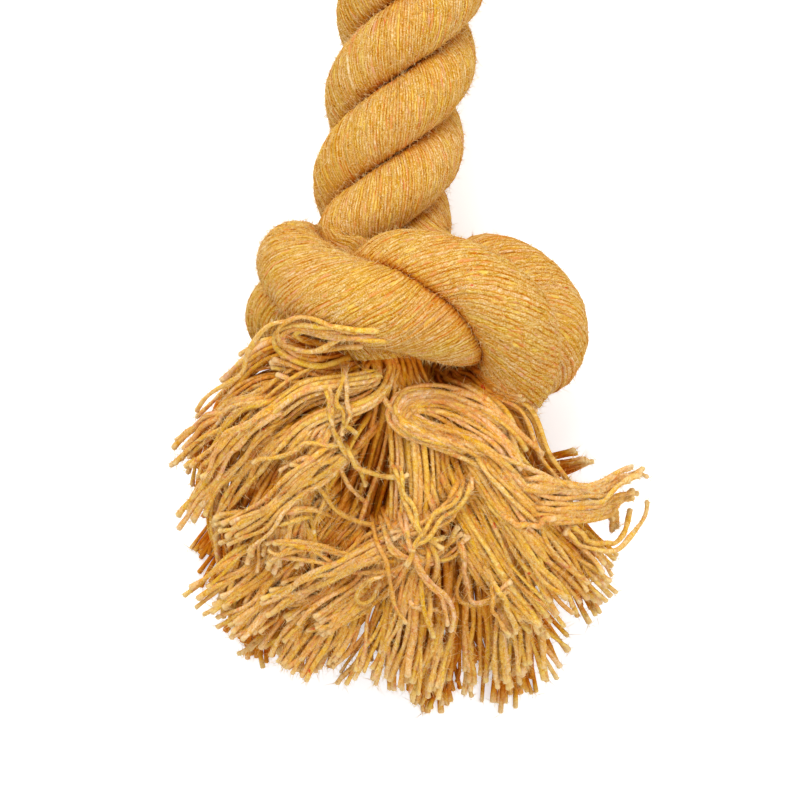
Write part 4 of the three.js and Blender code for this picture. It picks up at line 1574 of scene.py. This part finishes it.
@dataclass
class Studio:
    """Floor, light and the camera straight above the near end."""

    lamps: tuple[Lamp, ...] = (
        Lamp("key_lamp", (-300.0, 620.0, 860.0), 600.0, 7.0),
        Lamp("fill_lamp", (700.0, -300.0, 800.0), 900.0, 3.3),
    )
    ambient: float = 0.72
    view_middle: tuple[float, float] = (8.0, -126.4)
    view_width: float = 144.0
    sharp_height: float = 28.0
    distance: float = 720.0
    roll: float = math.radians(8.0)
    sensor: float = 36.0
    farthest: float = 20.0
    floor_width: float = 6000.0

    def add_camera(self) -> None:
        """Add the camera that frames the toy as the photograph does."""
        camera = bpy.data.cameras.new("camera")
        camera.sensor_width = self.sensor
        camera.lens = self.sensor * self.distance / self.view_width
        camera.clip_end = self.farthest
        holder = add_object("camera", camera)
        holder.location = Vector((*self.view_middle, self.sharp_height + self.distance)) * MM
        holder.rotation_euler = (0.0, 0.0, self.roll)
        bpy.context.scene.camera = holder

    def add_floor(self) -> None:
        """Add the plain floor."""
        bm = bmesh.new()
        bmesh.ops.create_grid(bm, x_segments=1, y_segments=1, size=self.floor_width / 2 * MM)
        mesh = bpy.data.meshes.new("floor")
        bm.to_mesh(mesh)
        bm.free()
        floor = add_object("floor", mesh)
        mesh.materials.append(StudioFloor().material())

    def add_lamp(self, form: Lamp) -> None:
        """Add one lamp."""
        lamp = bpy.data.lights.new(form.name, "AREA")
        lamp.size = form.width * MM
        lamp.energy = form.power
        holder = add_object(form.name, lamp)
        holder.location = (Vector((*self.view_middle, self.sharp_height)) + Vector(form.place)) * MM
        holder.rotation_euler = Vector(form.place).to_track_quat("Z", "Y").to_euler()

    def add_light(self) -> None:
        """Add the lamps and the white surroundings."""
        for form in self.lamps:
            self.add_lamp(form)
        world = bpy.data.worlds.new("surroundings")
        bpy.context.scene.world = world
        pad = NodePad(world)
        path = pad.add("ShaderNodeLightPath")
        seen = pad.math("MAXIMUM", path.outputs["Is Camera Ray"], path.outputs["Is Glossy Ray"])
        seen = pad.math("MAXIMUM", seen, path.outputs["Is Transmission Ray"])
        level = pad.spread(seen, 0.0, 1.0, self.ambient, 1.0)
        back = pad.add("ShaderNodeBackground", None, Color=(1.0, 1.0, 1.0, 1.0), Strength=level)
        pad.add("ShaderNodeOutputWorld", None, Surface=back.outputs[0])


def main() -> None:
    """Build the scene."""
    logging.basicConfig(level=logging.INFO, format="%(name)s %(message)s")
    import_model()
    bpy.context.scene.view_settings.view_transform = "Standard"
    studio = Studio()
    studio.add_camera()
    lay = RopeLay()
    strands = LaidStrands(lay)
    strands.build()
    strands.dress()
    strand_fuzz = Fuzz()
    yarn_fuzz = Fuzz(
        count=30000, radius=0.056, shortest=0.5, longest=2.3, crowding=2.4, stand=0.95, seed=78
    )
    fibre_finish = LooseFibre().material()
    for strand in range(3):
        strand_fuzz.on_strand(f"strand_fuzz_{strand + 1}", strands, strand, fibre_finish)
    for end, seed in ((End.NEAR, 5), (End.FAR, 8)):
        tassel = Tassel(lay, strands, end, seed)
        tassel.build()
        tassel.dress()
        name = f"{end.label}_tassel_fuzz"
        yarn_fuzz.on_yarns(name, *tassel.in_open(), tassel.heap.radius, fibre_finish)
    studio.add_floor()
    studio.add_light()


if __name__ == "__main__":
    main()
